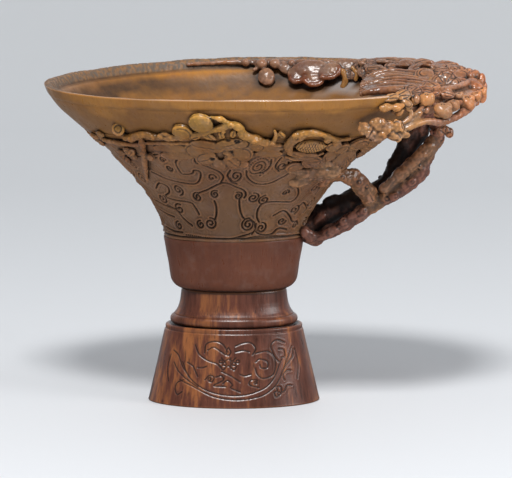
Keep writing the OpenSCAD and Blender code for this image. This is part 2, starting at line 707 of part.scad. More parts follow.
// The branch over the back rim: [angle, inward share, height share, girth share]
rim_branch_shares = [
    [108, 1.05, 0.972, 0.35], [100, 1.08, 0.972, 0.55], [93, 1.1, 0.975, 0.8], [86, 1.15, 0.975, 1.1], [80, 1.15, 0.97, 1.2],
    [74, 1.15, 0.965, 1.0], [68, 1.15, 0.955, 1.0], [60, 1.1, 0.96, 1.0], [52, 1.0, 0.975, 1.1], [44, 0.7, 1.0, 1.2],
    [36, 0.3, 1.02, 1.3], [28, -0.6, 1.03, 1.3]
];
rim_twig_shares = [
    [[90, 1.1, 0.97, 0.6], [89, 1.5, 0.945, 0.5], [88.5, 1.7, 0.93, 0.4]],
    [[58, 1.1, 0.96, 0.6], [57, 1.5, 0.93, 0.6], [56, 1.7, 0.90, 0.45]]
];
function on_rim(table) = [
    for (r = table) concat(wall_point(r[2], r[0], -r[1] * lip_wall), r[3] * twig_girth)
];
rim_knot_shares = [[84, 1.3], [73.5, 1.3], [61, 1.2], [36.5, 0.3], [89, 1.2], [78.5, 1.3], [66.5, 1.3], [50, 1]];
module rim_net() {
    branch(on_rim(rim_branch_shares), [0, 0, 1]);
    for (twig = rim_twig_shares) branch(on_rim(twig), [1, 0, 0]);
    for (r = rim_knot_shares) translate(wall_point(0.985, r[0], -r[1] * lip_wall)) knot(twig_girth * 0.9);
}
module rim_branch() {
    color("sienna") difference() {
        rim_net();
        canopy_net();
        fans();
        bowl_solid();
    }
}
// Fungus heads: [angle, inward share, height share, size share, lobes, opening, spin]
fungus_shares = [
    [79, 1.6, 0.95, 1.0, 3, 260, -84], [67, 1.6, 0.948, 1.6, 4, 230, -93], [56, 1.3, 0.965, 1.3, 3, 220, -66],
    [43, 1.2, 0.972, 1.4, 4, 220, -80]
];
module fungus_heads() {
    for (r = fungus_shares)
        seated(wall_point(r[2], r[0], -r[1] * lip_wall), -wall_normal(r[2], r[0]), r[6])
            head(petal_long * r[3], r[4], r[5], petal_rise * 1.4);
}
module rim_fungus() {
    color("sienna") difference() {
        fungus_heads();
        rim_net();
        canopy_net();
        fans();
        bowl_solid();
    }
}

stand_foot();
stand_neck();
cup_heel();
cup_bowl();
handle_bough();
handle_back_bough();
handle_fork();
handle_root();
canopy_boughs();
canopy_fans();
canopy_buds();
front_branch();
front_blossoms();
front_leaves();
seed_pod();
back_branch();
back_blossoms();
rim_branch();
rim_fungus();
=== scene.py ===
"""Carved horn drinking cup that stands loose on an oval wooden stand.

Laid out as an add-on: sizes and finishes are scene properties, each group of pieces has its own
operator, and a sidebar panel lists them. Shapes are worked out in millimetres in the frame of the
CAD model and scaled to metres when a piece is made.
"""
import json
import math

import bmesh
import bpy
import numpy as np
from mathutils import Matrix, Vector
from mathutils.bvhtree import BVHTree
from mathutils.kdtree import KDTree

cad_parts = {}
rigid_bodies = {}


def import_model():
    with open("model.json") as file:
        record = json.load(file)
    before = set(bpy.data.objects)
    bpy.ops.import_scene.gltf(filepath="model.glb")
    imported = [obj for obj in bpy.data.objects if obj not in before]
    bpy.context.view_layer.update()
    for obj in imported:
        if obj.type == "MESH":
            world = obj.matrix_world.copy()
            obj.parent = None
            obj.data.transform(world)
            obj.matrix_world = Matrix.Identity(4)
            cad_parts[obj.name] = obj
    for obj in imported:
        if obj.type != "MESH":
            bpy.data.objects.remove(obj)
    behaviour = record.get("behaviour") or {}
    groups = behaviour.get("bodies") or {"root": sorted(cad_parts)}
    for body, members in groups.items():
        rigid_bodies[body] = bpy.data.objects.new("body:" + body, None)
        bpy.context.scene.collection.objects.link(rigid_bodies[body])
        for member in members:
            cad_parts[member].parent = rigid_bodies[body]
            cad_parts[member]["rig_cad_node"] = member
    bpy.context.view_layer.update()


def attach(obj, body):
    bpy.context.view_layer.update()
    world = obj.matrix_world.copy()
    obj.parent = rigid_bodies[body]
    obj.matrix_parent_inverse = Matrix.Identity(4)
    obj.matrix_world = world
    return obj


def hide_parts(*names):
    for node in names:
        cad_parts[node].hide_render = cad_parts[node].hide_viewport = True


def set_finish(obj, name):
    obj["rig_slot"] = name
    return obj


bl_info = {
    "name": "Horn Drinking Cup",
    "version": (1, 0, 0),
    "blender": (4, 5, 0),
    "location": "3D View > Sidebar > Horn Cup",
    "description": "Builds a carved horn drinking cup on its wooden stand",
    "category": "Object",
}

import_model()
MM = 0.001

# The cup's main sizes, as the CAD model has them
WAIST, RIM = 56.6, 110.0
WAIST_HALF, SPOUT, MOUTH, DEPTH_HALF, SHIFT = 23.6, 64.0, 68.0, 53.5, 10.5
OVAL = 0.66
# How far the rim falls at the pouring lip, and how square the handle's side of the mouth is
SPOUT_DIP, SQUARING = 1.5, 0.6
HOLLOW_DEPTH, LIP_WALL, FLOOR_WALL = 48.0, 3.4, 6.0
HOLLOW_START = LIP_WALL + 0.5
STAND_TOP = 38.7
BOUGH, TWIG = 2.9, 1.5
HANDLE_REACH, HANDLE_SPAN, CANOPY_REACH = 70.0, 8.0, 17.5
HANDLE_RISE = (RIM - WAIST) * 0.81
# The flare as [height share, share of the way out], the hollow as [depth share, width share]
FLARE = np.array([
    [-0.1, -0.03], [0, 0], [0.12, 0.045], [0.25, 0.14], [0.33, 0.215], [0.44, 0.335], [0.55, 0.47],
    [0.66, 0.61], [0.8, 0.81], [0.87, 0.905], [0.93, 0.965], [1, 1], [1.1, 1.05]])
HOLLOW = np.array([
    [0, 1], [0.16, 1], [0.34, 1], [0.52, 1], [0.7, 0.98], [0.8, 0.94], [0.88, 0.85], [0.94, 0.71],
    [0.98, 0.5], [1, 0.3]])
# Height share at which the carved band ends, and how far in the wall behind it lies
BAND_TOP, BEHIND_BAND = 0.72, -1.15
# A way's rounded end as [distance, girth], in shares of its radius
TIP = ((0.45, 0.8), (0.75, 0.45))
TURN = 2 * math.pi


# ---------------------------------------------------------------- Properties

def length_property(name, description, default, low=0.0, high=1.0):
    return bpy.props.FloatProperty(
        name=name, description=description + ", in millimetres", default=default, min=low, max=high)


def colour_property(name, description, default):
    return bpy.props.FloatVectorProperty(name=name, description=description, subtype="COLOR", default=default)


def level_property(name, description, default, **values):
    return bpy.props.FloatProperty(name=name, description=description, default=default, **values)


class CarvingProperties(bpy.types.PropertyGroup):
    line_depth: length_property("Scroll Depth", "Depth of the lines cut round the scrolls", 0.5)
    line_width: length_property("Scroll Width", "Half width of a cut line", 0.25, 0.1)
    line_rise: length_property("Scroll Rise", "How far the scrolls swell beside their lines", 0.4)
    ground_depth: length_property("Ground Depth", "How far the carved ground lies below the smooth wall", 0.4)
    foot_line: length_property("Foot Line Depth", "Depth of the lines cut into the foot", 0.26)
    chisel: length_property("Chisel Marks", "Height of the tool marks on the branches", 0.12, high=0.5)
    voxel: length_property("Fusing Step", "Fineness of the fused branches", 0.34, 0.2)


class FinishProperties(bpy.types.PropertyGroup):
    lip: colour_property("Lip", "Horn at the lip", (0.37, 0.162, 0.032))
    wall: colour_property("Wall", "Horn of the smooth wall", (0.25, 0.112, 0.03))
    band: colour_property("Band", "Horn of the carved band", (0.21, 0.105, 0.05))
    heel: colour_property("Heel", "Horn of the heel", (0.16, 0.052, 0.026))
    handle: colour_property("Handle", "Horn of the handle", (0.165, 0.075, 0.055))
    amber: colour_property("Amber", "Amber horn of the buds", (0.52, 0.235, 0.085))
    # the patina colour is also the colour of painted shade: under branches, in deep hollows and under the
    # heel
    patina: colour_property("Patina", "Dark wax in the hollows", (0.018, 0.009, 0.006))
    # the grey of the worn bevel is partly a painted reflection
    bevel: colour_property("Worn Bevel", "Matt worn horn inside the lip", (0.13, 0.095, 0.07))
    wood: colour_property("Wood", "Red-brown wood of the stand", (0.13, 0.038, 0.02))
    wood_light: colour_property("Light Grain", "Orange streaks of the wood", (0.30, 0.10, 0.028))
    gloss: level_property("Roughness", "Roughness of the waxed horn", 0.3, min=0, max=1, subtype="FACTOR")


class StageProperties(bpy.types.PropertyGroup):
    floor: colour_property("Floor", "Colour of the floor", (0.80, 0.815, 0.84))
    # the backdrop colour is darker than the floor's: painted shade
    backdrop: colour_property("Backdrop", "Colour of the backdrop", (0.60, 0.615, 0.63))
    key: level_property("Key Light", "Power of the main softbox in watts", 27.0)
    fill: level_property("Fill Light", "Power of the side softbox in watts", 9.8)
    sky: level_property("Sky Light", "Strength of the light from all round", 0.385)


def settings(kind):
    return getattr(bpy.context.scene, "cup_" + kind)


# ---------------------------------------------------------------- Shapes

def clamp(x):
    return np.clip(x, 0, 1)


def eased(s):
    """A share that starts and ends gently."""
    return s * s * (3 - 2 * s)


def bell(x, width):
    """1 at x = 0, fading out over a width on both sides."""
    return np.exp(-(x / width) ** 2)


def blend_curve(table, x):
    """Smooth values of a table of [place, value] at x, through its points."""
    px, py = table[:, 0], table[:, 1]
    slope = np.gradient(py, px)
    i = np.clip(np.searchsorted(px, x, side="right") - 1, 0, len(px) - 2)
    w = px[i + 1] - px[i]
    s = clamp((x - px[i]) / w)
    a = eased(s)
    return (py[i] * (1 - a) + py[i + 1] * a
            + slope[i] * w * s * (1 - s) ** 2 - slope[i + 1] * w * s * s * (1 - s))


def lobe(v, power):
    return np.sign(v) * np.abs(v) ** power


def wall(h, t, out=0.0, rise=0.0):
    """Points of the outer wall at height share h and angle t in degrees, moved level outwards by out."""
    h, t = np.broadcast_arrays(np.asarray(h, float), np.asarray(t, float))
    a = np.radians(t)
    c, s, f = np.cos(a), np.sin(a), blend_curve(FLARE, h)
    middle = SHIFT * f
    left = WAIST_HALF + (SPOUT - WAIST_HALF) * f + middle + out
    right = WAIST_HALF + (MOUTH - WAIST_HALF) * f - middle + out
    deep = WAIST_HALF * OVAL + (DEPTH_HALF - WAIST_HALF * OVAL) * f + out
    power = np.where(c < 0, 1, 2 / (2 + SQUARING * f))
    dip = SPOUT_DIP * np.sin(TURN / 4 * np.maximum(0, -c)) ** 2
    return np.stack([
        middle + np.where(c < 0, left, right) * lobe(c, power),
        deep * lobe(s, power),
        WAIST + h * (RIM - WAIST - dip * h * h) + rise], -1)


def unit(v):
    return v / np.maximum(np.linalg.norm(v, axis=-1, keepdims=True), 1e-9)


def wall_axes(h, t):
    """The wall's point, its outward normal, and the level and the rising direction there."""
    h = np.minimum(h, 0.97)
    point = wall(h, t)
    level = unit(wall(h, t + 0.5) - wall(h, t - 0.5))
    rising = unit(wall(h + 0.01, t) - wall(h - 0.01, t))
    return point, unit(np.cross(level, rising)), level, rising


def ways(knots, steps=6, taper=True):
    """A smooth way through knots [x, y, z, radius], with rounded ends."""
    k = np.asarray(knots, float)
    p = np.vstack([2 * k[:1] - k[1:2], k, 2 * k[-1:] - k[-2:-1]])
    p[0, 3], p[-1, 3] = k[0, 3], k[-1, 3]
    out = []
    for i in range(1, len(p) - 2):
        for s in np.arange(steps) / steps:
            a, b, c, d = p[i - 1:i + 3]
            out.append((2 * b + (c - a) * s + (2 * a - 5 * b + 4 * c - d) * s ** 2
                        + (3 * b - a - 3 * c + d) * s ** 3) / 2)
    out = np.array(out + [k[-1]])
    if taper:
        for end, inner in ((0, 1), (-1, -2)):
            r, d = out[end, 3], unit(out[end, :3] - out[inner, :3])
            tips = np.array([[*(out[end, :3] + d * r * g), r * q] for g, q in TIP])
            out = np.vstack([tips[::-1], out]) if end == 0 else np.vstack([out, tips])
    return out


def facing(normal, spin):
    """Two directions across normal, the first turned by spin from the level, and normal itself."""
    n = unit(np.asarray(normal, float))
    level = unit(np.cross((0, 0, 1), n))
    high = np.cross(n, level)
    a = math.radians(spin)
    x = math.cos(a) * level + math.sin(a) * high
    return x, np.cross(n, x), n


def seat(t, h, spin=0):
    """The wall's point at an angle and height share, and the directions of a face on it."""
    point, normal, _, _ = wall_axes(h, float(t))
    return (point, *facing(normal, spin))


def circle(centre, x, y, count, start=0.0, end=TURN):
    """Places round centre from one angle to another, with the half axes x and y."""
    a = np.linspace(start, end, count)[:, None]
    return np.asarray(centre) + np.asarray(x) * np.cos(a) + np.asarray(y) * np.sin(a)


def bough_axes(line):
    """A line's places and radii, and two directions across it."""
    p = line[:, :3]
    ahead = unit(np.gradient(p, axis=0))
    side = unit(np.cross(ahead, np.array([0.2, 1, 0.1])))
    return p, line[:, 3:], side, np.cross(ahead, side)


# Ways from tables in shares: on the wall [angle, height, standing, girth], of the handle
# [reach, span, rise, girth], of the canopy [angle, reach, height, girth] and on the rim
# [angle, inward, height, girth]

def on_wall(table):
    rows = []
    for t, h, standing, girth in table:
        point, normal, _, _ = wall_axes(h, t)
        rows.append([*(point + normal * standing * TWIG), girth * TWIG])
    return rows


def in_handle(reach, span, rise):
    return np.array([reach * HANDLE_REACH, span * HANDLE_SPAN, WAIST + rise * HANDLE_RISE])


def on_handle(table):
    return [[*in_handle(reach, span, rise), girth * BOUGH] for reach, span, rise, girth in table]


def on_canopy(table):
    return [[*wall(h, t, reach * CANOPY_REACH), girth * BOUGH] for t, reach, h, girth in table]


def on_rim(table):
    return [[*wall(h, t, -inward * LIP_WALL), girth * TWIG] for t, inward, h, girth in table]


# ---------------------------------------------------------------- Meshes

def layer(items, name, width, kind=np.float32):
    """One row of numbers for each of a mesh's items."""
    values = np.empty(len(items) * width, kind)
    items.foreach_get(name, values)
    return values.reshape(-1, width)


def co_of(mesh):
    return layer(mesh.vertices, "co", 3).astype(float) / MM


def normals_of(mesh):
    return layer(mesh.vertex_normals, "vector", 3).astype(float)


def pairs_of(mesh):
    return layer(mesh.edges, "vertices", 2, np.int32)


def put_co(mesh, co):
    mesh.vertices.foreach_set("co", (co * MM).astype(np.float32).ravel())
    mesh.update()


def smoothed(values, pairs, rounds, weight=0.5):
    """Each value drawn towards the mean of its neighbours."""
    n = len(values)
    a = np.concatenate([pairs[:, 0], pairs[:, 1]])
    b = np.concatenate([pairs[:, 1], pairs[:, 0]])
    degree = np.maximum(np.bincount(a, minlength=n), 1)
    values = values.reshape(n, -1).astype(float)
    for _ in range(rounds):
        mean = np.stack([np.bincount(a, values[b, k], minlength=n) / degree
                         for k in range(values.shape[1])], -1)
        values = values + weight * (mean - values)
    return values


def ripple(co, size, seed):
    """A smooth random field between about -1 and 1, with features of a given size in millimetres."""
    waves = 28
    rng = np.random.default_rng(seed)
    way = unit(rng.normal(size=(waves, 3)))
    reach = TURN / (size * rng.uniform(0.7, 1.6, waves))
    start = rng.uniform(0, TURN, waves)
    return np.sin(co @ (way * reach[:, None]).T + start).sum(1) / math.sqrt(waves / 2) / 1.6


def set_value(mesh, name, values):
    attribute = mesh.attributes.get(name) or mesh.attributes.new(name, "FLOAT", "POINT")
    attribute.data.foreach_set("value", np.asarray(values, np.float32).ravel())


def get_value(mesh, name):
    attribute = mesh.attributes.get(name)
    if not attribute:
        return np.zeros(len(mesh.vertices))
    return layer(attribute.data, "value", 1).ravel().astype(float)


def nearest(points, co):
    """Distance from each place in co to the nearest of points."""
    tree = KDTree(len(points))
    for i, p in enumerate(points):
        tree.insert(p, i)
    tree.balance()
    return np.array([tree.find(c)[2] for c in co])


def to_mesh(name, bm, scale=MM):
    bmesh.ops.scale(bm, vec=(scale, scale, scale), verts=bm.verts)
    mesh = bpy.data.meshes.new(name)
    bm.to_mesh(mesh)
    bm.free()
    return mesh


def evaluated(holder):
    """The mesh that an object's modifiers or curve make. The object is removed."""
    bpy.context.scene.collection.objects.link(holder)
    bpy.context.view_layer.update()
    mesh = bpy.data.meshes.new_from_object(holder.evaluated_get(bpy.context.evaluated_depsgraph_get()))
    bpy.data.objects.remove(holder)
    return mesh


def make_piece(name, mesh, finish, body, slot, nodes=()):
    """A mesh in metres becomes a smooth piece of the object."""
    mesh.name = name
    mesh.polygons.foreach_set("use_smooth", [True] * len(mesh.polygons))
    mesh.materials.clear()
    mesh.materials.append(materials()[finish])
    piece = bpy.data.objects.new(name, mesh)
    bpy.context.scene.collection.objects.link(piece)
    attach(piece, body)
    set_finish(piece, slot)
    if nodes:
        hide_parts(*nodes)
    return piece


def sheet(rows, columns, place, around=True, closed=False):
    """A grid laid over place(row, column share): its seam, pole and ends are closed."""
    bm = bmesh.new()
    bmesh.ops.create_grid(bm, x_segments=columns, y_segments=rows - 1, size=0.5)
    co = np.array([v.co for v in bm.verts])
    u = (co[:, 0] - co[:, 0].min()) / np.ptp(co[:, 0])
    v = np.rint((co[:, 1] - co[:, 1].min()) / np.ptp(co[:, 1]) * (rows - 1)).astype(int)
    for vert, p in zip(bm.verts, place(v, u)):
        vert.co = p
    seam = [vert for vert, a, b in zip(bm.verts, u, v)
            if (around and (a < 1e-6 or a > 1 - 1e-6)) or b in (0, rows - 1)]
    bmesh.ops.remove_doubles(bm, verts=seam, dist=1e-4)
    if closed:
        bmesh.ops.holes_fill(bm, edges=[e for e in bm.edges if e.is_boundary], sides=0)
    bmesh.ops.recalc_face_normals(bm, faces=bm.faces)
    return bm


def add_ways(bm, lines, sides=3):
    """Round branches along lines of [x, y, z, radius]."""
    curve = bpy.data.curves.new("way", "CURVE")
    curve.dimensions = "3D"
    curve.bevel_depth = 1.0
    curve.bevel_resolution = sides
    curve.use_fill_caps = True
    for line in lines:
        spline = curve.splines.new("POLY")
        spline.points.add(len(line) - 1)
        spline.points.foreach_set("co", np.hstack([line[:, :3], np.ones((len(line), 1))]).ravel())
        spline.points.foreach_set("radius", line[:, 3])
    mesh = evaluated(bpy.data.objects.new("way", curve))
    bm.from_mesh(mesh)
    bpy.data.curves.remove(curve)
    bpy.data.meshes.remove(mesh)


def basis(centre, x, y, z):
    """The matrix that takes a unit shape to centre with the columns x, y and z."""
    return Matrix(((x[0], y[0], z[0], centre[0]), (x[1], y[1], z[1], centre[1]),
                   (x[2], y[2], z[2], centre[2]), (0, 0, 0, 1)))


def add_blob(bm, centre, x, y, z, fine=3):
    bmesh.ops.create_icosphere(bm, subdivisions=fine, radius=1, matrix=basis(centre, x, y, z))


def add_ball(bm, centre, r, fine=3):
    add_blob(bm, centre, (r, 0, 0), (0, r, 0), (0, 0, r), fine)


def add_plate(bm, cuts, centre, x, y, z, rings=0, rays=0):
    """A flat rounded plate with half axes x, y and z, arcs round its tip and fine rays on its face."""
    add_blob(bm, centre, x, y, z)

    def on_face(u, v):
        return centre + x * u + y * v + z * np.sqrt(np.maximum(0, 1 - u * u - v * v))

    cuts.append(circle(centre + z * 0.1, x * 0.99, y * 0.99, 22))
    bend = np.linspace(-1.9, 1.9, 12)[:, None]
    for k in range(rings):
        reach = 0.74 - 0.27 * k
        cuts.append(on_face(reach * np.cos(bend), reach * np.sin(bend)))
    s = np.linspace(0, 1, 8)[:, None]
    for k in range(rays):
        lean = (k - (rays - 1) / 2) * 0.75 / max(1, rays - 1)
        cuts.append(on_face(-0.5 + 1.3 * s, (0.25 + 1.3 * s) * lean))


def add_head(bm, cuts, centre, normal, spin, size, petals, opening, rise, boss=0.0, cup=0.25, veins=1):
    """A flower, leaf spray or fungus head: petals with arcs and fine veins, open over an angle."""
    x, y, n = facing(normal, spin)
    centre = np.asarray(centre, float)
    for i in range(petals):
        a = math.radians(opening * ((i + 0.5) / petals - 0.5))
        along, across = math.cos(a) * x + math.sin(a) * y, -math.sin(a) * x + math.cos(a) * y
        span = size * (1 - 0.1 * (i % 2))
        wide = min(size * 0.62, size * math.sin(math.radians(opening / petals / 2)) * 1.12)
        tip = unit(along + n * cup * (0.4 if i % 2 else 1.0))
        face = unit(np.cross(tip, across))
        face = face if face @ n > 0 else -face
        middle = centre + tip * span * 0.52 + n * rise * (0.22 + 0.2 * (i % 2))
        add_plate(bm, cuts, middle, tip * span * 0.52, across * wide, face * rise * 0.62, 1 + (veins > 1),
                  veins)
    if boss:
        add_blob(bm, centre + n * rise * 0.7, x * size * boss, y * size * boss, n * rise * 0.6)
        for place in circle(centre + n * rise * 1.12, x * size * boss, y * size * boss, 8)[:-1]:
            add_ball(bm, place, 0.42, 2)


def add_strands(bm, line, count, twist):
    """Thin strands that wind round a bough and leave its bark ridged."""
    p, r, side, top = bough_axes(line)
    run = np.concatenate([[0], np.cumsum(np.linalg.norm(np.diff(p, axis=0), axis=1))])[:, None]
    out = []
    for k in range(count):
        a = TURN * k / count + run * twist + 0.5 * np.sin(run * 0.35 + k)
        place = p + (side * np.cos(a) + top * np.sin(a)) * (r * 0.5)
        out.append(np.hstack([place, r * 0.5 * (1 + 0.25 * np.sin(run * 0.6 + 2 * k))]))
    add_ways(bm, out, 2)


def fuse(name, bm, voxel, smooth=2):
    """Overlapping shapes become one skin, smoothed without shrinking."""
    mesh = to_mesh(name, bm)
    holder = bpy.data.objects.new(name, mesh)
    fusing = holder.modifiers.new("Fuse", "REMESH")
    fusing.mode = "VOXEL"
    fusing.voxel_size = voxel * MM * 1
    fused = evaluated(holder)
    bpy.data.meshes.remove(mesh)
    co, pairs = co_of(fused), pairs_of(fused)
    for _ in range(smooth):
        for weight in (0.5, -0.47):
            co = smoothed(co, pairs, 1, weight)
    put_co(fused, co)
    return fused


def finer(line):
    """The same line with four times as many places."""
    line = np.asarray(line, float)
    steps = np.linspace(0, len(line) - 1, len(line) * 4)
    return np.stack([np.interp(steps, np.arange(len(line)), line[:, k]) for k in range(3)], -1)


def carve(mesh, cuts, width, depth, marks=0.0, seed=1, shade=1.0, lumps=0.0):
    """Lines are cut into a mesh along its normals, and tool marks roughen it. The lines are kept as cut."""
    co, no = co_of(mesh), normals_of(mesh)
    cut = get_value(mesh, "cut")
    move = np.zeros(len(co))
    if cuts:
        line = bell(nearest(np.vstack([finer(c) for c in cuts]), co), width)
        move -= depth * line
        cut = np.maximum(cut, shade * line)
    if marks:
        move += marks * (ripple(co, 2.2, seed) + 0.6 * ripple(co, 1.1, seed + 7))
    if lumps:
        move += lumps * (ripple(co, 7.5, seed + 3) + 0.35 * ripple(co, 3.6, seed + 5))
    put_co(mesh, co + no * move[:, None])
    set_value(mesh, "cut", cut)


# ---------------------------------------------------------------- Materials

class Finish:
    """Nodes of one material, added one after the other."""

    def __init__(self, name):
        self.material = bpy.data.materials.new(name)
        self.material.use_nodes = True
        self.nodes, self.links = self.material.node_tree.nodes, self.material.node_tree.links
        self.shader = self.nodes["Principled BSDF"]
        self.coords = self.add("ShaderNodeTexCoord").outputs["Object"]

    def add(self, kind, **values):
        node = self.nodes.new(kind)
        for key, value in values.items():
            setattr(node, key, value)
        return node

    def link(self, source, target):
        self.links.new(source, target)

    def noise(self, scale, detail=4.0, rough=0.55, stretch=None, turn=(0, 0, 0), shift=(0, 0, 0)):
        place = self.add("ShaderNodeMapping")
        place.inputs["Scale"].default_value = stretch or (1, 1, 1)
        place.inputs["Rotation"].default_value = turn
        place.inputs["Location"].default_value = shift
        noise = self.add("ShaderNodeTexNoise")
        noise.inputs["Scale"].default_value = scale
        noise.inputs["Detail"].default_value = detail
        noise.inputs["Roughness"].default_value = rough
        self.link(self.coords, place.inputs["Vector"])
        self.link(place.outputs["Vector"], noise.inputs["Vector"])
        return noise.outputs["Fac"]

    def ramp(self, source, stops):
        ramp = self.add("ShaderNodeValToRGB")
        parts = ramp.color_ramp.elements
        while len(parts) < len(stops):
            parts.new(0.5)
        for part, (where, colour) in zip(parts, stops):
            part.position = where
            part.color = (*colour, 1) if hasattr(colour, "__len__") else (colour, colour, colour, 1)
        self.link(source, ramp.inputs["Fac"])
        return ramp.outputs["Color"]

    def mix(self, share, a, b, mode="MIX"):
        mix = self.add("ShaderNodeMix", data_type="RGBA", blend_type=mode)
        for socket, value in ((0, share), (6, a), (7, b)):
            if isinstance(value, bpy.types.NodeSocket):
                self.link(value, mix.inputs[socket])
            else:
                mix.inputs[socket].default_value = value if socket == 0 else (*value, 1)
        return mix.outputs[2]

    def dyed(self, colour, dye):
        return self.mix(1.0, colour, dye, "MULTIPLY")

    def sum(self, a, b, how="ADD"):
        node = self.add("ShaderNodeMath", operation=how)
        for k, value in enumerate((a, b)):
            if isinstance(value, bpy.types.NodeSocket):
                self.link(value, node.inputs[k])
            else:
                node.inputs[k].default_value = value
        return node.outputs[0]

    def times(self, a, b):
        return self.sum(a, b, "MULTIPLY")

    def span(self, source, low, high, to_low=0.0, to_high=1.0):
        node = self.add("ShaderNodeMapRange")
        for k, value in enumerate((low, high, to_low, to_high)):
            node.inputs[k + 1].default_value = value
        self.link(source, node.inputs[0])
        return node.outputs[0]

    def value(self, name):
        return self.add("ShaderNodeAttribute", attribute_name=name).outputs["Fac"]

    def axis(self, k):
        node = self.add("ShaderNodeSeparateXYZ")
        self.link(self.coords, node.inputs[0])
        return node.outputs[k]

    def bump(self, height, distance, strength=1.0):
        bump = self.add("ShaderNodeBump")
        bump.inputs["Distance"].default_value = distance
        bump.inputs["Strength"].default_value = strength
        self.link(height, bump.inputs["Height"])
        self.link(bump.outputs["Normal"], self.shader.inputs["Normal"])


def horn(name, stops, axis=2, low=WAIST, high=RIM, fibre=0.3, mottle=0.3, gloss=None, edge_wear_and_highlight=0.35, dark=0.92,
         glow=0.04, light=None):
    """Waxed horn: a run of colour along one axis, upright fibres, mottling, hollows darkened by dark wax and
    painted shade, and high edges lightened by rubbing and a painted highlight.
    """
    finish = settings("finish")
    f = Finish(name)
    run = f.span(f.axis(axis), low * MM, high * MM)
    colour = f.ramp(f.sum(run, f.span(f.noise(38, 3), 0.3, 0.7, -0.09, 0.09)), stops)
    # a second colour where a piece's light value is high: painted light on the handle's fork and inner bough,
    # a lighter spray on the canopy and a darker red on the fungus's rolled edges
    if light:
        colour = f.mix(f.value("light"), colour, light)
    patch = f.noise(75, 5, 0.6, (1, 1, 0.6), shift=(3, 1, 2))
    deep = f.dyed(colour, (0.55, 0.38, 0.36))
    colour = f.mix(f.span(patch, 0.46, 0.72, 0, mottle), colour, deep)
    bright = f.dyed(colour, (1.4, 1.2, 0.85))
    colour = f.mix(f.span(f.noise(120, 4, 0.6, shift=(7, 3, 5)), 0.5, 0.75, 0, mottle), colour, bright)
    pale = f.mix(0.6, f.dyed(colour, (1.15, 1.2, 1.4)), (0.23, 0.155, 0.125))
    colour = f.mix(f.span(f.noise(230, 4, 0.6, shift=(1, 8, 4)), 0.5, 0.72, 0, mottle * 0.9), colour, pale)
    fibres = f.noise(900, 4, 0.6, (1, 1, 0.05))
    streak = f.dyed(colour, (0.55, 0.45, 0.42))
    colour = f.mix(f.span(fibres, 0.48, 0.72, 0, fibre), colour, streak)
    # dark wax and painted shade: hollows where nearby surfaces block the light, and carved lines, go towards
    # the near-black colour
    hollow, cut, crest_wear_and_highlight = f.value("hollow"), f.value("cut"), f.value("crest_wear_and_highlight")
    speck = f.noise(420, 3)
    wax_and_shade = f.sum(f.sum(hollow, f.times(cut, 0.75)), f.span(speck, 0.3, 0.8, -0.1, 0.1))
    colour = f.mix(f.span(wax_and_shade, 0.14, 0.85, 0, dark), colour, tuple(finish.patina))
    # high edges lighter: partly rubbed horn, partly a painted highlight
    colour = f.mix(f.span(f.sum(crest_wear_and_highlight, f.span(speck, 0.3, 0.7, -0.15, 0.15)), 0.25, 1.0, 0, edge_wear_and_highlight),
                   colour, f.dyed(colour, (1.9, 1.75, 1.6)))
    gloss = gloss or finish.gloss
    rough = f.sum(f.span(fibres, 0.3, 0.7, gloss - 0.04, gloss + 0.08), f.span(wax_and_shade, 0.1, 1, 0, 0.3))
    bumps = f.sum(f.times(fibres, 0.5), f.noise(650, 5))
    if name == "horn handle":
        # painted shade that makes the handle's back bough nearly black
        shade = f.value("shade")
        colour = f.mix(f.times(shade, 0.93), colour, (0.006, 0.004, 0.005))
        rough = f.sum(rough, f.times(shade, 0.25))
    if name == "horn bowl":
        # the worn bevel: matt and ticked from top to bottom, its grey-brown partly worn horn and partly a
        # painted reflection
        ticks = f.noise(950, 2, 0.5, (1, 1, 0.08), shift=(2, 6, 1))
        worn = f.times(f.value("worn"), f.span(ticks, 0.4, 0.62, 0.45, 1.0))
        colour = f.mix(worn, colour, tuple(finish.bevel))
        rough = f.sum(rough, f.times(worn, 0.3))
        bumps = f.sum(bumps, f.times(worn, -2.0))
        # the polished lip edge with a painted highlight along it, and a painted reflection on the inside wall
        # under the fungus
        polish_and_highlight = f.value("polish_and_highlight")
        colour = f.mix(f.times(polish_and_highlight, 0.75), colour, (0.75, 0.6, 0.5))
        rough = f.sum(rough, f.times(polish_and_highlight, -0.18))
        colour = f.mix(f.times(f.value("painted_sheen"), 0.85), colour, (0.4, 0.36, 0.34))
    f.link(colour, f.shader.inputs["Base Color"])
    f.link(rough, f.shader.inputs["Roughness"])
    f.shader.inputs["IOR"].default_value = 1.5
    f.shader.inputs["Subsurface Weight"].default_value = glow
    f.shader.inputs["Subsurface Radius"].default_value = (1.0, 0.45, 0.2)
    f.shader.inputs["Subsurface Scale"].default_value = 0.0016
    f.bump(bumps, 0.00012, 0.5)
    return f.material


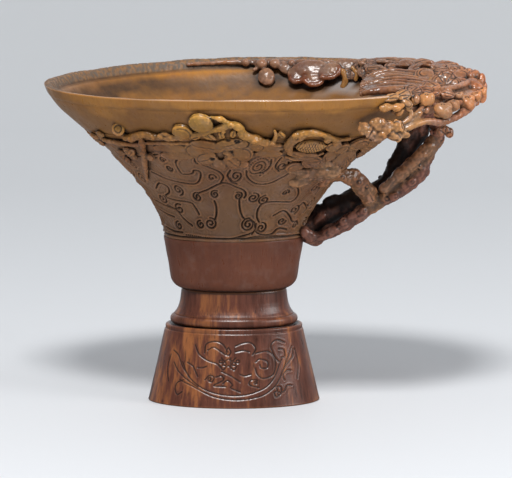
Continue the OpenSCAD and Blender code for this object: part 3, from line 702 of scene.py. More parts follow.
def stand_wood():
    """Waxed red-brown hardwood with upright grain, orange streaks and fine pores."""
    finish = settings("finish")
    f = Finish("stand wood")
    grain = f.noise(520, 5, 0.6, (1, 1, 0.035))
    broad = f.noise(95, 4, 0.55, (1, 1, 0.16), shift=(4, 2, 1))
    colour = f.ramp(f.sum(f.times(grain, 0.5), f.times(broad, 0.5)),
                    [(0.36, tuple(c * 0.42 for c in finish.wood)), (0.5, tuple(finish.wood)),
                     (0.58, tuple(finish.wood_light)), (0.7, tuple(c * 1.25 for c in finish.wood_light))])
    pores = f.noise(1500, 3, 0.5, (1, 1, 0.03), shift=(1, 5, 2))
    colour = f.mix(f.span(pores, 0.58, 0.7, 0, 0.7), colour, (0.035, 0.012, 0.008))
    colour = f.mix(f.span(f.noise(30, 3, shift=(9, 9, 9)), 0.45, 0.7, 0, 0.55), colour,
                   tuple(c * 0.5 for c in finish.wood))
    # dark wax and painted shade in the hollows and the cut lines; on the neck, painted shade where the heel
    # sits
    wax_and_shade = f.sum(f.value("hollow"), f.value("cut"))
    colour = f.mix(f.span(wax_and_shade, 0.15, 1.0, 0, 0.85), colour, tuple(finish.patina))
    # raised edges lighter: partly rubbed wood, partly a painted highlight
    colour = f.mix(f.span(f.value("crest_wear_and_highlight"), 0.35, 1.0, 0, 0.3), colour, tuple(finish.wood_light))
    f.link(colour, f.shader.inputs["Base Color"])
    f.link(f.span(grain, 0.3, 0.7, 0.27, 0.42), f.shader.inputs["Roughness"])
    f.shader.inputs["Coat Weight"].default_value = 0.35
    f.shader.inputs["Coat Roughness"].default_value = 0.28
    f.bump(f.sum(grain, f.times(pores, -1.0)), 0.00012, 0.6)
    return f.material


def tinted(colour, share):
    return tuple(c * share for c in colour)


def materials():
    """The finishes, made once and found again by name."""
    if "stand wood" in bpy.data.materials:
        return bpy.data.materials
    finish = settings("finish")
    lip, plain, band, heel, handle, amber = (
        tuple(c) for c in (finish.lip, finish.wall, finish.band, finish.heel, finish.handle, finish.amber))
    stand_wood()
    horn("horn bowl", [(0.0, band), (0.62, plain), (0.9, plain), (0.955, lip), (1.0, lip)], edge_wear_and_highlight=0.15,
         mottle=0.22)
    horn("horn band", [(0.0, tinted(band, 0.85)), (0.3, band), (0.62, tinted(band, 1.1)), (0.75, plain)],
         fibre=0.2, edge_wear_and_highlight=0.4, mottle=0.55, dark=0.85)
    horn("horn heel", [(0.0, tinted(heel, 0.75)), (0.5, heel), (1.0, tinted(heel, 0.9))],
         low=STAND_TOP, high=WAIST, mottle=0.35, gloss=0.3, edge_wear_and_highlight=0.2)
    # the handle's light colour is painted light on the fork and the inner bough
    horn("horn handle", [(0.0, tinted(handle, 0.8)), (0.6, handle), (1.0, tinted(handle, 1.3))],
         edge_wear_and_highlight=0.9, mottle=0.75, gloss=0.17, light=(0.225, 0.124, 0.065))
    horn("horn canopy", [(0.0, (0.16, 0.082, 0.045)), (0.3, (0.2, 0.1, 0.055)), (0.55, (0.23, 0.115, 0.065)),
                         (0.8, (0.27, 0.13, 0.072)), (1.0, (0.42, 0.17, 0.075))],
         axis=0, low=38, high=85, edge_wear_and_highlight=0.7, glow=0.08, mottle=0.85, gloss=0.2, light=(0.28, 0.148, 0.065))
    horn("horn amber", [(0.0, (0.34, 0.165, 0.05)), (0.48, amber), (0.62, (0.38, 0.2, 0.1)),
                        (0.76, (0.36, 0.18, 0.09)), (0.9, (0.48, 0.2, 0.08))],
         axis=0, low=45, high=84, fibre=0.1, mottle=0.2, gloss=0.24, edge_wear_and_highlight=0.25, dark=0.85, glow=0.2)
    horn("horn relief", [(0.0, (0.22, 0.108, 0.052)), (0.4, (0.26, 0.128, 0.048)),
                         (0.7, (0.32, 0.165, 0.042)), (1.0, (0.36, 0.195, 0.045))],
         low=85, high=104, edge_wear_and_highlight=0.75, fibre=0.15, mottle=0.65, gloss=0.18)
    horn("horn pod", [(0.0, (0.36, 0.19, 0.07)), (1.0, (0.42, 0.23, 0.08))],
         low=85, high=104, edge_wear_and_highlight=0.8, mottle=0.4, gloss=0.22)
    horn("horn rim", [(0.0, (0.16, 0.078, 0.042)), (0.6, (0.23, 0.13, 0.085)), (1.0, (0.24, 0.13, 0.078))],
         axis=0, low=-15, high=50, edge_wear_and_highlight=0.6, fibre=0.15, mottle=0.8, gloss=0.24, light=(0.14, 0.045, 0.02))
    return bpy.data.materials


# ---------------------------------------------------------------- Bowl and carved band

# Lip: [distance outwards, rise above the rim]
LIP = np.array([[0.3, 0.05], [0.27, 0.24], [0.1, 0.38], [-0.25, 0.44], [-0.9, 0.43], [-1.5, 0.33],
                [-1.95, 0.08],
                [-2.3, -0.3], [-2.7, -0.85], [-3.1, -1.4], [-3.5, -1.95], [-3.8, -2.5]])


class CUP_OT_bowl(bpy.types.Operator):
    """Makes the bowl: recessed wall behind the carved band, smooth wall, fascia, worn lip with a painted
    highlight and painted reflection, and hollow
    """
    bl_idname = "cup.bowl"
    bl_label = "Make Bowl"

    def execute(self, context):
        rows = [("wall", h, BEHIND_BAND, 0) for h in np.linspace(0, BAND_TOP - 0.003, 30)]
        rows += [("wall", h, 0, 0) for h in np.linspace(BAND_TOP, 0.925, 14)]
        rows += [("wall", 0.929, -0.05, 0), ("wall", 0.934, -0.06, 0), ("wall", 0.939, 0.03, 0),
                 ("wall", 0.944, 0.2, 0), ("wall", 0.95, 0.28, 0)]
        rows += [("wall", h, 0.3, 0) for h in np.linspace(0.958, 0.997, 6)]
        rows += [("wall", 1.0, out, rise) for out, rise in LIP]
        rows += [("hollow", d, 0, 0) for d in np.concatenate([np.linspace(0.075, 0.8, 20), [
            0.84, 0.88, 0.91, 0.94, 0.96, 0.98, 0.99, 1.0]])]
        rows += [("floor", s, 0, 0) for s in (0.8, 0.55, 0.3, 0.0)]

        def place(row, share):
            t = share * 360
            co = np.zeros((len(row), 3))
            for i, (kind, a, out, rise) in enumerate(rows):
                at = row == i
                if kind == "wall":
                    co[at] = wall(a, t[at], out, rise)
                    continue
                depth = a if kind == "hollow" else 1.0
                width = float(blend_curve(HOLLOW, depth)) * (a if kind == "floor" else 1)
                h = 1 - depth * HOLLOW_DEPTH / (RIM - WAIST)
                p = wall(h, t[at], -(HOLLOW_START + (FLOOR_WALL - HOLLOW_START) * depth))
                middle = SHIFT * float(blend_curve(FLARE, np.array(h)))
                p[:, 0] = middle + (p[:, 0] - middle) * width
                p[:, 1] *= width
                co[at] = p
            return co

        columns = 680
        bm = sheet(len(rows), columns, place, closed=True)
        piece = make_piece("bowl", to_mesh("bowl", bm), "horn bowl", "cup", "horn_bowl", ["cup_bowl"])
        self.wear_lip_and_paint_light(piece.data)
        return {"FINISHED"}

    @staticmethod
    def wear_lip_and_paint_light(mesh):
        """A worn matt bevel inside the lip at the back and the spout, its grey partly a painted reflection,
        and a slightly uneven wall; also a painted highlight on the front lip's edge, a painted reflection
        inside under the fungus, and the inside darker towards the spout.
        """
        co, no = co_of(mesh), normals_of(mesh)
        away = co - (SHIFT, 0, 0)
        angle = np.degrees(np.arctan2(away[:, 1], away[:, 0]))
        turn = np.where(angle < -150, angle + 360, angle)
        level = unit(away * (1, 1, 0))
        inner = np.clip(0.35 - (no * level).sum(1) + no[:, 2], 0, 0.4) / 0.4
        border = 107.4 - SPOUT_DIP * clamp((turn - 95) / 85)
        worn = inner * clamp((co[:, 2] - border) / 0.5)
        worn *= clamp((turn - 48) / 12) * clamp((206 - turn) / 14)
        nicks = clamp(ripple(co * (1, 1, 0.2), 1.4, 5) - 0.1)
        uneven = 0.13 * ripple(co, 14, 3) + 0.04 * ripple(co, 5, 4)
        put_co(mesh, co + no * (uneven - 0.22 * nicks * worn)[:, None])
        set_value(mesh, "worn", worn)
        inside = (no * level).sum(1) < 0.2
        front = clamp((-150 - angle) / -40) * (away[:, 1] < 0)
        top = co[:, 2] > 109.4 - 1.6 * clamp(-away[:, 0] / 60)
        # painted highlight along the top edge of the front lip
        set_value(mesh, "polish_and_highlight", bell(no[:, 2] - 0.62, 0.3) * top * (1 - inside) * front)
        # painted reflection: a pale grey patch on the inside wall under the fungus
        painted_sheen = clamp(1 - np.abs(co[:, 2] - 102.2) / 4.5) * clamp((co[:, 0] - 16) / 10) * (co[:, 1] > 12)
        set_value(mesh, "painted_sheen", inside * painted_sheen * clamp(0.4 + 1.2 * ripple(co, 7, 8)))
        # the inside of the bowl darker towards the spout, through the value that carved lines use
        set_value(mesh, "cut", 0.3 * inside * clamp((-8 - co[:, 0]) / 24) * (co[:, 1] > -20))


# Lines of the front's scrolls, [angle, height share]. The back carries them mirrored.
SCROLLS = [
    [(-117, 0.28), (-116, 0.31), (-114, 0.33), (-111, 0.345), (-108, 0.36), (-105, 0.38), (-102, 0.4),
     (-99, 0.41),
     (-96, 0.4), (-93, 0.38), (-90, 0.365), (-88, 0.345), (-87, 0.32), (-87.5, 0.3)],
    [(-105, 0.28), (-104, 0.24), (-104, 0.19), (-105, 0.15)],
    [(-90, 0.29), (-89, 0.24), (-87, 0.19), (-84, 0.155), (-80, 0.152), (-75.5, 0.125), (-74, 0.08),
     (-76, 0.05)],
    [(-72, 0.13), (-75, 0.17), (-76, 0.22), (-74, 0.26), (-67, 0.27), (-58, 0.262), (-52, 0.27),
     (-50.5, 0.31),
     (-55, 0.36), (-59, 0.38)],
    [(-90, 0.5), (-89, 0.45), (-85, 0.41), (-79, 0.4), (-74, 0.415), (-70, 0.46), (-67, 0.5)],
    [(-82, 0.58), (-81, 0.53), (-82.5, 0.485), (-86, 0.475)],
    [(-139, 0.46), (-133, 0.43), (-125, 0.405), (-117, 0.395), (-113, 0.41), (-111, 0.45), (-111, 0.485),
     (-113.5, 0.495),
     (-115, 0.47), (-120, 0.465), (-121, 0.5), (-121, 0.55), (-118, 0.58), (-114, 0.59)],
    [(-109, 0.54), (-106, 0.52), (-102, 0.49), (-100, 0.45), (-101, 0.41)],
    [(-97, 0.5), (-98, 0.46), (-96, 0.42), (-93, 0.405)],
    [(-145, 0.34), (-138, 0.385), (-134, 0.36), (-135, 0.32), (-140, 0.29), (-133, 0.27), (-122, 0.26),
     (-119, 0.23),
     (-117, 0.18)],
    [(-143, 0.23), (-135, 0.19), (-131, 0.14), (-125, 0.1)],
    [(-74, 0.12), (-73, 0.07), (-68, 0.045), (-59, 0.045), (-53, 0.08), (-44, 0.07)],
    [(-132, 0.035), (-106, 0.02), (-94, 0.02), (-86, 0.033), (-75, 0.06)],
    [(-85, 0.012), (-72, 0.03), (-57, 0.03), (-37, 0.02)],
    [(-78, 0.59), (-78.5, 0.56), (-78, 0.52), (-75, 0.49)],
    [(-41, 0.22), (-38, 0.24), (-29, 0.2), (-30, 0.17)],
    [(-168, 0.36), (-160, 0.285), (-163, 0.203), (-154, 0.172), (-141, 0.15)],
    [(-160, 0.07), (-148, 0.05), (-136, 0.05)], [(-131, 0.22), (-138, 0.205), (-147, 0.225), (-158, 0.25)],
    [(-60, 0.40), (-52, 0.42), (-42, 0.40), (-33, 0.35), (-30, 0.29)],
    [(-128, 0.60), (-136, 0.575), (-146, 0.57), (-156, 0.55)],
    [(-172, 0.53), (-163, 0.50), (-158, 0.44), (-164, 0.40)],
    [(-176, 0.15), (-170, 0.20), (-172, 0.27)], [(-20, 0.33), (-14, 0.28), (-16, 0.20), (-24, 0.19)],
    [(-10, 0.10), (-6, 0.2), (-9, 0.33), (-4, 0.42)], [(-64, 0.56), (-58, 0.52), (-50, 0.52), (-44, 0.49)],
    [(-62, 0.17), (-55, 0.2), (-46, 0.16), (-40, 0.12), (-33, 0.12)],
]
# Spirals of the front, [angle, height share, radius in mm, turns, start angle]
SPIRALS = [
    (-109, 0.12, 2.1, -1.6, 90), (-117, 0.11, 1.5, 1.3, 90), (-80, 0.115, 2.4, 1.9, 90),
    (-69, 0.09, 1.9, -1.4, 90),
    (-94, 0.46, 2.1, 1.6, 200), (-105.5, 0.445, 1.5, 1, 0), (-82, 0.30, 2.0, -1.6, 100),
    (-115.5, 0.30, 1.7, 1.4, 80),
    (-111, 0.56, 1.3, 1.3, 0), (-126, 0.5, 1.2, -1.2, 0), (-127, 0.56, 1.1, 1.2, 0),
    (-127, 0.345, 1.9, 1.5, -90),
    (-152, 0.40, 2.0, 1.4, 0), (-168, 0.45, 2.0, -1.4, 90), (-44, 0.20, 1.9, 1.5, -60),
    (-28, 0.235, 1.8, -1.4, 90),
    (-38, 0.345, 2.2, 1.4, -60), (-172, 0.10, 1.6, 1.3, 0), (-17, 0.1, 1.6, 1.3, 0),
    (-74.5, 0.285, 1.9, 1.5, 100),
    (-139, 0.092, 1.5, 1.3, 90), (-52, 0.46, 1.9, 1.4, 60), (-15, 0.45, 2.0, -1.4, 0),
    (-150, 0.49, 1.6, 1.3, 0),
    (-86, 0.525, 3.7, 2.6, -60), (-75, 0.53, 2.0, -1.3, 60), (-132, 0.21, 1.9, 1.3, 60),
    (-62, 0.33, 1.3, 1.2, 0),
    (-34, 0.09, 1.4, 1.2, 0), (-52, 0.13, 1.5, -1.2, 0), (-145, 0.27, 1.8, -1.4, 40),
    (-104.5, 0.325, 1.5, 1.5, 60), (-91, 0.315, 1.5, -1.5, 120),
]
# Edge of the smooth panel in the middle, [height share, low angle, high angle]
PANEL = np.array([[0.0, 87, 104], [0.15, 86, 104.5], [0.26, 89, 103.5], [0.33, 92, 101], [0.39, 95, 98]])


def through(points, steps=14):
    """A smooth dense line through a few points."""
    flat = np.array([[*p, 0, 0][:4] for p in points], float)
    return ways(flat, steps, taper=False)[:, :2]


def scroll_points(mirror):
    """Places on the wall that the scrolls and the line above the waist pass through."""
    sign = -1 if mirror else 1
    scrolls = []
    for line in SCROLLS:
        p = through(line)
        scrolls.append(wall(p[:, 1], sign * p[:, 0]))
    for t, h, radius, turns, start in SPIRALS:
        point, _, level, rising = wall_axes(h, float(t))
        s = np.linspace(0, 1, 60)
        a = math.radians(start) + TURN * turns * s
        r = radius * (1 - 0.82 * s)
        line = point + level * (np.cos(a) * r)[:, None] + rising * (np.sin(a) * r * (1 + 0.8 * h))[:, None]
        scrolls.append(line * (1, sign, 1))
    scrolls.append(wall(0.02, sign * np.linspace(-180, 0, 700)))
    return np.vstack(scrolls)


def band_border(t):
    """Height share at which the recessed ground ends, which wavers round the cup."""
    a = np.radians(t)
    return 0.688 + 0.008 * np.sin(5 * a) + 0.005 * np.sin(11 * a + 1)


class CUP_OT_carved_band(bpy.types.Operator):
    """Makes the carved band round the bowl, front and back, with scrolls in low relief"""
    bl_idname = "cup.carved_band"
    bl_label = "Make Carved Band"

    def execute(self, context):
        for side, start in (("front", -180.0), ("back", 0.0)):
            self.make_half(side, start)
        return {"FINISHED"}

    @staticmethod
    def make_half(side, start):
        carving = settings("carving")
        outer, columns = ((184, 500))
        heights = np.concatenate([np.linspace(0, BAND_TOP, outer), np.linspace(BAND_TOP - 0.002, 0, 6), [0]])
        outs = np.concatenate([np.zeros(outer), np.full(6, BEHIND_BAND - 0.1), [0]])

        def place(row, share):
            return wall(heights[row], start + 180 * share, outs[row])

        bm = sheet(len(heights), columns, place, around=False)
        bmesh.ops.remove_doubles(bm, verts=bm.verts, dist=1e-4)
        bmesh.ops.holes_fill(bm, edges=[e for e in bm.edges if e.is_boundary], sides=0)
        bmesh.ops.recalc_face_normals(bm, faces=bm.faces)
        mesh = make_piece("carved_band_" + side, to_mesh("band", bm), "horn band", "cup", "horn_relief").data
        co = co_of(mesh)
        h = (co[:, 2] - WAIST) / (RIM - WAIST)
        t = np.degrees(np.arctan2(co[:, 1] / OVAL, co[:, 0] - SHIFT * blend_curve(FLARE, h)))
        _, normal, _, _ = wall_axes(h, t)
        outside = (normals_of(mesh) * normal).sum(1) > 0.3
        d = nearest(scroll_points(side == "back"), co)
        ground = eased(clamp((band_border(t) - h) / 0.012)) * clamp(h / 0.02)
        calm = 1 - 0.8 * in_panel(h, np.abs(t))
        groove = bell(d, carving.line_width)
        welt = bell(d - 2.5 * carving.line_width, 1.5 * carving.line_width)
        rough = 0.05 * ripple(co, 1.5, 11) + 0.03 * ripple(co, 0.8, 12) + 0.14 * ripple(co, 5.5, 13)
        move = ground * (-carving.ground_depth + calm * rough + carving.line_rise * welt
                         - carving.line_depth * groove)
        bevel = bell(h - band_border(t), 0.01)
        put_co(mesh, co + normal * (move * outside)[:, None])
        set_value(mesh, "cut", outside * ground * 0.54 * groove + outside * 0.25 * bevel)


def in_panel(h, t):
    """1 inside the smooth panel, 0 outside."""
    low, high = np.interp(h, PANEL[:, 0], PANEL[:, 1]), np.interp(h, PANEL[:, 0], PANEL[:, 2])
    return clamp((t - low) / 0.8) * clamp((high - t) / 0.8) * clamp((0.4 - h) / 0.01)


# ---------------------------------------------------------------- Heel and stand

def oval_piece(name, profile, columns, finish, body, slot, nodes):
    """The mesh of an oval turned piece, from a profile of [half length, height] closed at its axis."""
    profile = np.asarray(profile, float)

    def place(row, share):
        a = share * TURN
        r = profile[row, 0]
        return np.stack([r * np.cos(a), r * OVAL * np.sin(a), profile[row, 1]], -1)

    bm = sheet(len(profile), columns, place, closed=True)
    return make_piece(name, to_mesh(name, bm), finish, body, slot, nodes).data


def dense(profile, step):
    """The same profile with points at most step apart."""
    out = [profile[0]]
    for a, b in zip(profile, profile[1:]):
        n = max(1, int(math.ceil(math.dist(a, b) / step)))
        out += [(a[0] + (b[0] - a[0]) * k / n, a[1] + (b[1] - a[1]) * k / n) for k in range(1, n + 1)]
    return out


def arc(x, z, r, start, end, steps):
    return [(x + r * math.cos(math.radians(start + (end - start) * k / steps)),
             z + r * math.sin(math.radians(start + (end - start) * k / steps))) for k in range(steps + 1)]


class CUP_OT_heel(bpy.types.Operator):
    """Makes the plain tapering heel with its boss"""
    bl_idname = "cup.heel"
    bl_label = "Make Heel"

    def execute(self, context):
        profile = [(0, 36.1), (6, 36.1), (12.3, 36.1), (12.5, 36.3), (12.5, STAND_TOP)]
        profile += [(14.5, STAND_TOP)] + arc(17.0, 43.3, 4.6, -90, -8, 14)
        profile += [(22.3, 47.4), (23.05, 51.5), (23.55, 54.6), (23.78, 56.15), (23.72, 56.42), (23.5, WAIST),
                    (16, WAIST), (0, WAIST)]
        mesh = oval_piece("heel", dense(profile, 0.8), 220, "horn heel", "cup", "horn_heel", ["cup_heel"])
        co, no = co_of(mesh), normals_of(mesh)
        side = clamp((co[:, 2] - 40) / 2) * (np.abs(no[:, 2]) < 0.8)
        put_co(mesh, co + no * ((0.06 * ripple(co, 9, 21) + 0.015 * ripple(co, 2, 22)) * side)[:, None])
        # painted shade: a dark line round the heel's foot where it sits on the stand
        set_value(mesh, "cut", clamp((40.0 - co[:, 2]) / 0.9))
        return {"FINISHED"}


# The scroll cut into the foot's front, mirrored at the back: lines of [distance to the right, height] in mm
FOOT_LINES = [
    [(-19, 9), (-13.5, 7), (-6.5, 4), (1, 3), (8.5, 4), (13, 6.5), (15.5, 9.5), (18.5, 15), (21.5, 20)],
    [(-18, 15), (-15.5, 10.5), (-11, 7), (-5.5, 5), (0.5, 4.4), (5.5, 5), (10.5, 7), (13.5, 10), (15, 13),
     (16.5, 16)],
    [(-22.5, 18.5), (-20, 17), (-18, 13.5), (-15, 10)], [(-22, 14.5), (-20, 12), (-16.5, 9.5), (-12, 7)],
    [(-13, 21), (-11.5, 18), (-8.5, 16), (-5.5, 15), (-3.5, 13)],
    [(-16, 15), (-14, 14), (-13, 12.5), (-12, 10.5)],
    [(-9.5, 18.5), (-9, 21.5), (-6, 22.5), (-3.5, 21.5), (-2, 19)],
    [(-8.5, 19.5), (-6.5, 20.5), (-4, 19), (-2.5, 18)],
    [(0.5, 21), (3, 22), (5.5, 22), (7, 20), (6, 18)], [(0.5, 19), (3, 19.5), (5, 19)],
    [(-1.8, 20.5), (-2.5, 19), (-1.8, 17.8), (-1, 19), (-1.8, 20.5)], [(-4, 17), (-3, 16), (-2, 16.6)],
    [(-1.5, 16.6), (-0.5, 16), (0.5, 17)], [(-4.2, 14.2), (-3.5, 13), (-1.8, 14.4), (0, 13), (0.8, 14.2)],
    [(7, 18.5), (11, 19), (13.5, 17), (14, 14), (13, 11), (9.5, 10), (7.5, 11.5), (7, 13.5)],
    [(7, 15.5), (8.5, 16.5), (11, 15.5), (11, 13.5), (9, 13.5), (8.5, 14.5)],
    [(18, 21.5), (14.5, 22.5), (12.5, 21), (13, 18.5), (14.5, 16), (16, 15)],
    [(-9.5, 9.5), (-8, 11), (-6.5, 10.5), (-7, 9), (-8, 9)],
    [(-6, 10.5), (-4, 11), (-3.5, 9.5), (-6.5, 7.7), (-2.5, 7.4)],
    [(-3.5, 8.5), (-2, 9.5), (-0.5, 8), (-1, 7), (2, 5.6)], [(2, 11.5), (3.5, 11), (5.5, 11.5)],
    [(8, 7), (5, 8), (5.5, 9.5), (7.5, 9.5), (7, 8.5)], [(-4, 12.5), (-1, 11), (2, 9)],
    [(14, 3.5), (13.5, 5), (14.5, 5.5), (14.5, 7), (16, 6.5), (16, 4.5), (14.5, 3.5)],
    [(-17.5, 9), (-20, 8), (-21, 6), (-20, 4), (-18, 5)], [(20.5, 12), (18.5, 12), (17, 10.5), (17.5, 9)],
    [(20.5, 7), (18.5, 7), (17.5, 5.5), (16.5, 5)], [(17, 12), (18.5, 14), (21.5, 16.5), (22, 19)],
    [(-12, 13.5), (-10.5, 13.5), (-9, 14)], [(-1, 17), (-1, 15.5), (-1, 13.5)],
    [(15.5, 19.5), (17.5, 19), (18, 17), (16.5, 16.5)], [(23, 19), (24.5, 14), (23.5, 9)],
    [(-24, 17), (-25.5, 12), (-24.5, 8)],
]
FOOT_CIRCLES = [(-3, 15, 0.6), (0, 15, 0.6), (-4.2, 15.8, 0.5), (1.2, 15.8, 0.5), (15.2, 4.6, 0.5),
                (-8, 9.8, 0.5), (7, 8.6, 0.5)]


def foot_half(z):
    return 29.3 + (23.4 - 29.3) * clamp(z / 25.2) ** 0.96


def on_foot(x, z, back=False):
    """The place on the foot's face at x to the right and height z, as a run along the oval's front."""
    half = foot_half(z)
    a = np.clip(x / (half * 0.94), -1.55, 1.55)
    y = -half * OVAL * np.cos(a)
    return np.stack([half * np.sin(a) * (-1 if back else 1), -y if back else y, z], -1)


class CUP_OT_stand(bpy.types.Operator):
    """Makes the stand: the flared foot with its cut scroll, and the concave neck with its ring"""
    bl_idname = "cup.stand"
    bl_label = "Make Stand"

    def execute(self, context):
        carving = settings("carving")
        wall_line = [(float(foot_half(z)), float(z)) for z in np.linspace(0.75, 24.6, 34)]
        profile = [(0, 0), (20, 0), (28.7, 0), (29.05, 0.18), (29.22, 0.42)] + wall_line
        profile += [(23.2, 24.85), (23.12, 25.02), (23.24, 25.25), (23.27, 25.7), (23.2, 26.15),
                    (22.95, 26.4),
                    (22.5, 26.5), (21.9, 26.42), (21.65, 26.2), (14, 25.87), (0, 25.87)]
        step = 0.27
        foot = oval_piece("foot", dense(profile[:4], 6) + dense(profile[4:-2], step) + profile[-2:],
                          640, "stand wood", "stand", "stand_wood", ["stand_foot"])
        self.cut_scroll(foot, carving.foot_line)
        profile = [(0, 25.9), (8, 25.9), (20.9, 25.9)] + arc(20.0, 28.1, 1.7, -72, 84, 16)
        profile += [(20.35, 29.95), (20.2, 30.2), (19.6, 31.0), (19.05, 32.0), (18.62, 33.2), (18.3, 34.6),
                    (18.1, 36.2),
                    (17.95, 37.6), (17.85, 38.35), (17.6, STAND_TOP), (16.0, STAND_TOP),
                    (12.85, STAND_TOP), (12.8, 35.8), (0, 35.8)]
        neck = oval_piece("neck", dense(profile, 0.45), 260, "stand wood", "stand", "stand_wood",
                          ["stand_neck"])
        z = co_of(neck)[:, 2]
        # painted shade round the neck's top where the heel sits on it, and a darker band at its foot along
        # the joint with the foot
        set_value(neck, "cut", clamp((z - 37.7) / 0.5) + clamp((26.9 - z) / 0.5))
        return {"FINISHED"}

    @staticmethod
    def cut_scroll(mesh, depth):
        co, no = co_of(mesh), normals_of(mesh)
        lines = []
        for back in (False, True):
            for line in FOOT_LINES:
                p = through(line, 24)
                lines.append(on_foot(p[:, 0], p[:, 1], back))
            for x, z, r in FOOT_CIRCLES:
                a = np.linspace(0, TURN, 26)
                lines.append(on_foot(x + r * np.cos(a), z + r * np.sin(a), back))
        d = nearest(np.vstack(lines), co)
        cut, swell = bell(d, 0.25), bell(d - 0.6, 0.3)
        face = clamp((np.hypot(no[:, 0], no[:, 1]) - 0.5) * 4)
        uneven = 0.05 * ripple(co, 12, 31)
        put_co(mesh, co + no * (face * (uneven + 0.05 * swell - depth * cut))[:, None])
        set_value(mesh, "cut", face * cut * 0.8)


# ---------------------------------------------------------------- Handle

FRONT_BOUGH = [
    (0.30, -0.1, -0.02, 0.6), (0.40, -0.15, -0.01, 0.75), (0.466, -0.25, 0.035, 0.85),
    (0.573, -0.35, 0.145, 0.9),
    (0.70, -0.4, 0.27, 0.9), (0.816, -0.4, 0.39, 1.05), (0.894, -0.35, 0.5, 1.0), (0.923, -0.3, 0.594, 0.9),
    (0.957, -0.25, 0.705, 0.98), (0.993, -0.2, 0.816, 0.95), (0.985, -0.1, 0.91, 1.05), (0.95, 0, 0.99, 1.2)]
INNER_BOUGH = [
    (0.735, -0.5, 0.38, 0.7), (0.80, -0.62, 0.495, 0.85), (0.885, -0.62, 0.615, 0.9),
    (0.95, -0.4, 0.70, 0.85)]
BACK_BOUGH = [
    (0.32, 0.2, 0.03, 0.9), (0.42, 0.5, 0.12, 1.35), (0.539, 0.65, 0.215, 1.55), (0.636, 0.65, 0.29, 1.3),
    (0.745, 0.6, 0.403, 1.0), (0.787, 0.6, 0.53, 1.1), (0.832, 0.6, 0.64, 1.25), (0.87, 0.55, 0.744, 1.35),
    (0.903, 0.5, 0.848, 1.4), (0.93, 0.4, 0.95, 1.3)]
FORK = [
    (0.44, -1.65, 0.515, 1.3), (0.49, -1.45, 0.52, 1.05), (0.535, -1.3, 0.515, 0.95),
    (0.593, -0.95, 0.458, 1.1),
    (0.64, -0.7, 0.375, 1.15), (0.66, -0.5, 0.30, 1.1), (0.675, -0.42, 0.265, 0.95)]
ROOTS = [
    [(0.34, -0.6, 0.05, 0.55), (0.385, -0.6, 0, 0.65), (0.43, -0.55, 0.01, 0.65), (0.49, -0.5, 0.06, 0.5)],
    [(0.34, 0.75, 0.07, 0.6), (0.38, 0.75, 0.03, 0.75), (0.44, 0.7, 0.05, 0.7), (0.50, 0.6, 0.10, 0.5)],
    [(0.352, 0.06, 0, 0.72), (0.385, 0.1, -0.03, 0.8), (0.42, 0.1, -0.01, 0.7), (0.47, 0.1, 0.05, 0.5)]]
# Knots: [reach share, span share, rise share, size share]
HANDLE_KNOTS = [
    (0.53, -0.6, 0.13, 0.55), (0.63, -0.65, 0.21, 0.5), (0.78, -0.75, 0.33, 0.6), (0.86, -0.75, 0.44, 0.5),
    (0.915, -0.6, 0.66, 0.6), (1.0, -0.3, 0.77, 0.6), (0.9, -0.75, 0.57, 0.4), (0.965, -0.35, 0.83, 0.5),
    (0.48, 1.1, 0.17, 0.7), (0.6, 1.2, 0.27, 0.6), (0.72, 1.0, 0.42, 0.6), (0.78, 1.1, 0.5, 0.6),
    (0.84, 1.2, 0.66, 0.7),
    (0.9, 1.1, 0.8, 0.7), (0.52, -1.6, 0.5, 0.5), (0.6, -1.2, 0.45, 0.55), (0.64, -1.0, 0.41, 0.5),
    (0.655, -0.8, 0.33, 0.5), (0.39, -0.6, 0, 0.4), (0.385, 0.95, 0.02, 0.45), (0.45, -0.6, 0.03, 0.4),
    (0.45, 0.9, 0.05, 0.45), (0.43, 0.4, -0.01, 0.42), (0.405, 0.5, 0.165, 1.15), (0.463, 0.5, 0.24, 0.72),
    (0.36, 0.4, 0.08, 0.9),
    (0.60, -0.45, 0.185, 0.7), (0.50, -0.4, 0.08, 0.6), (0.735, -0.6, 0.305, 0.6),
    (0.494, 0.5, 0.275, 0.72), (0.478, 0.45, 0.262, 0.7), (1.0, -0.25, 0.86, 0.6)]


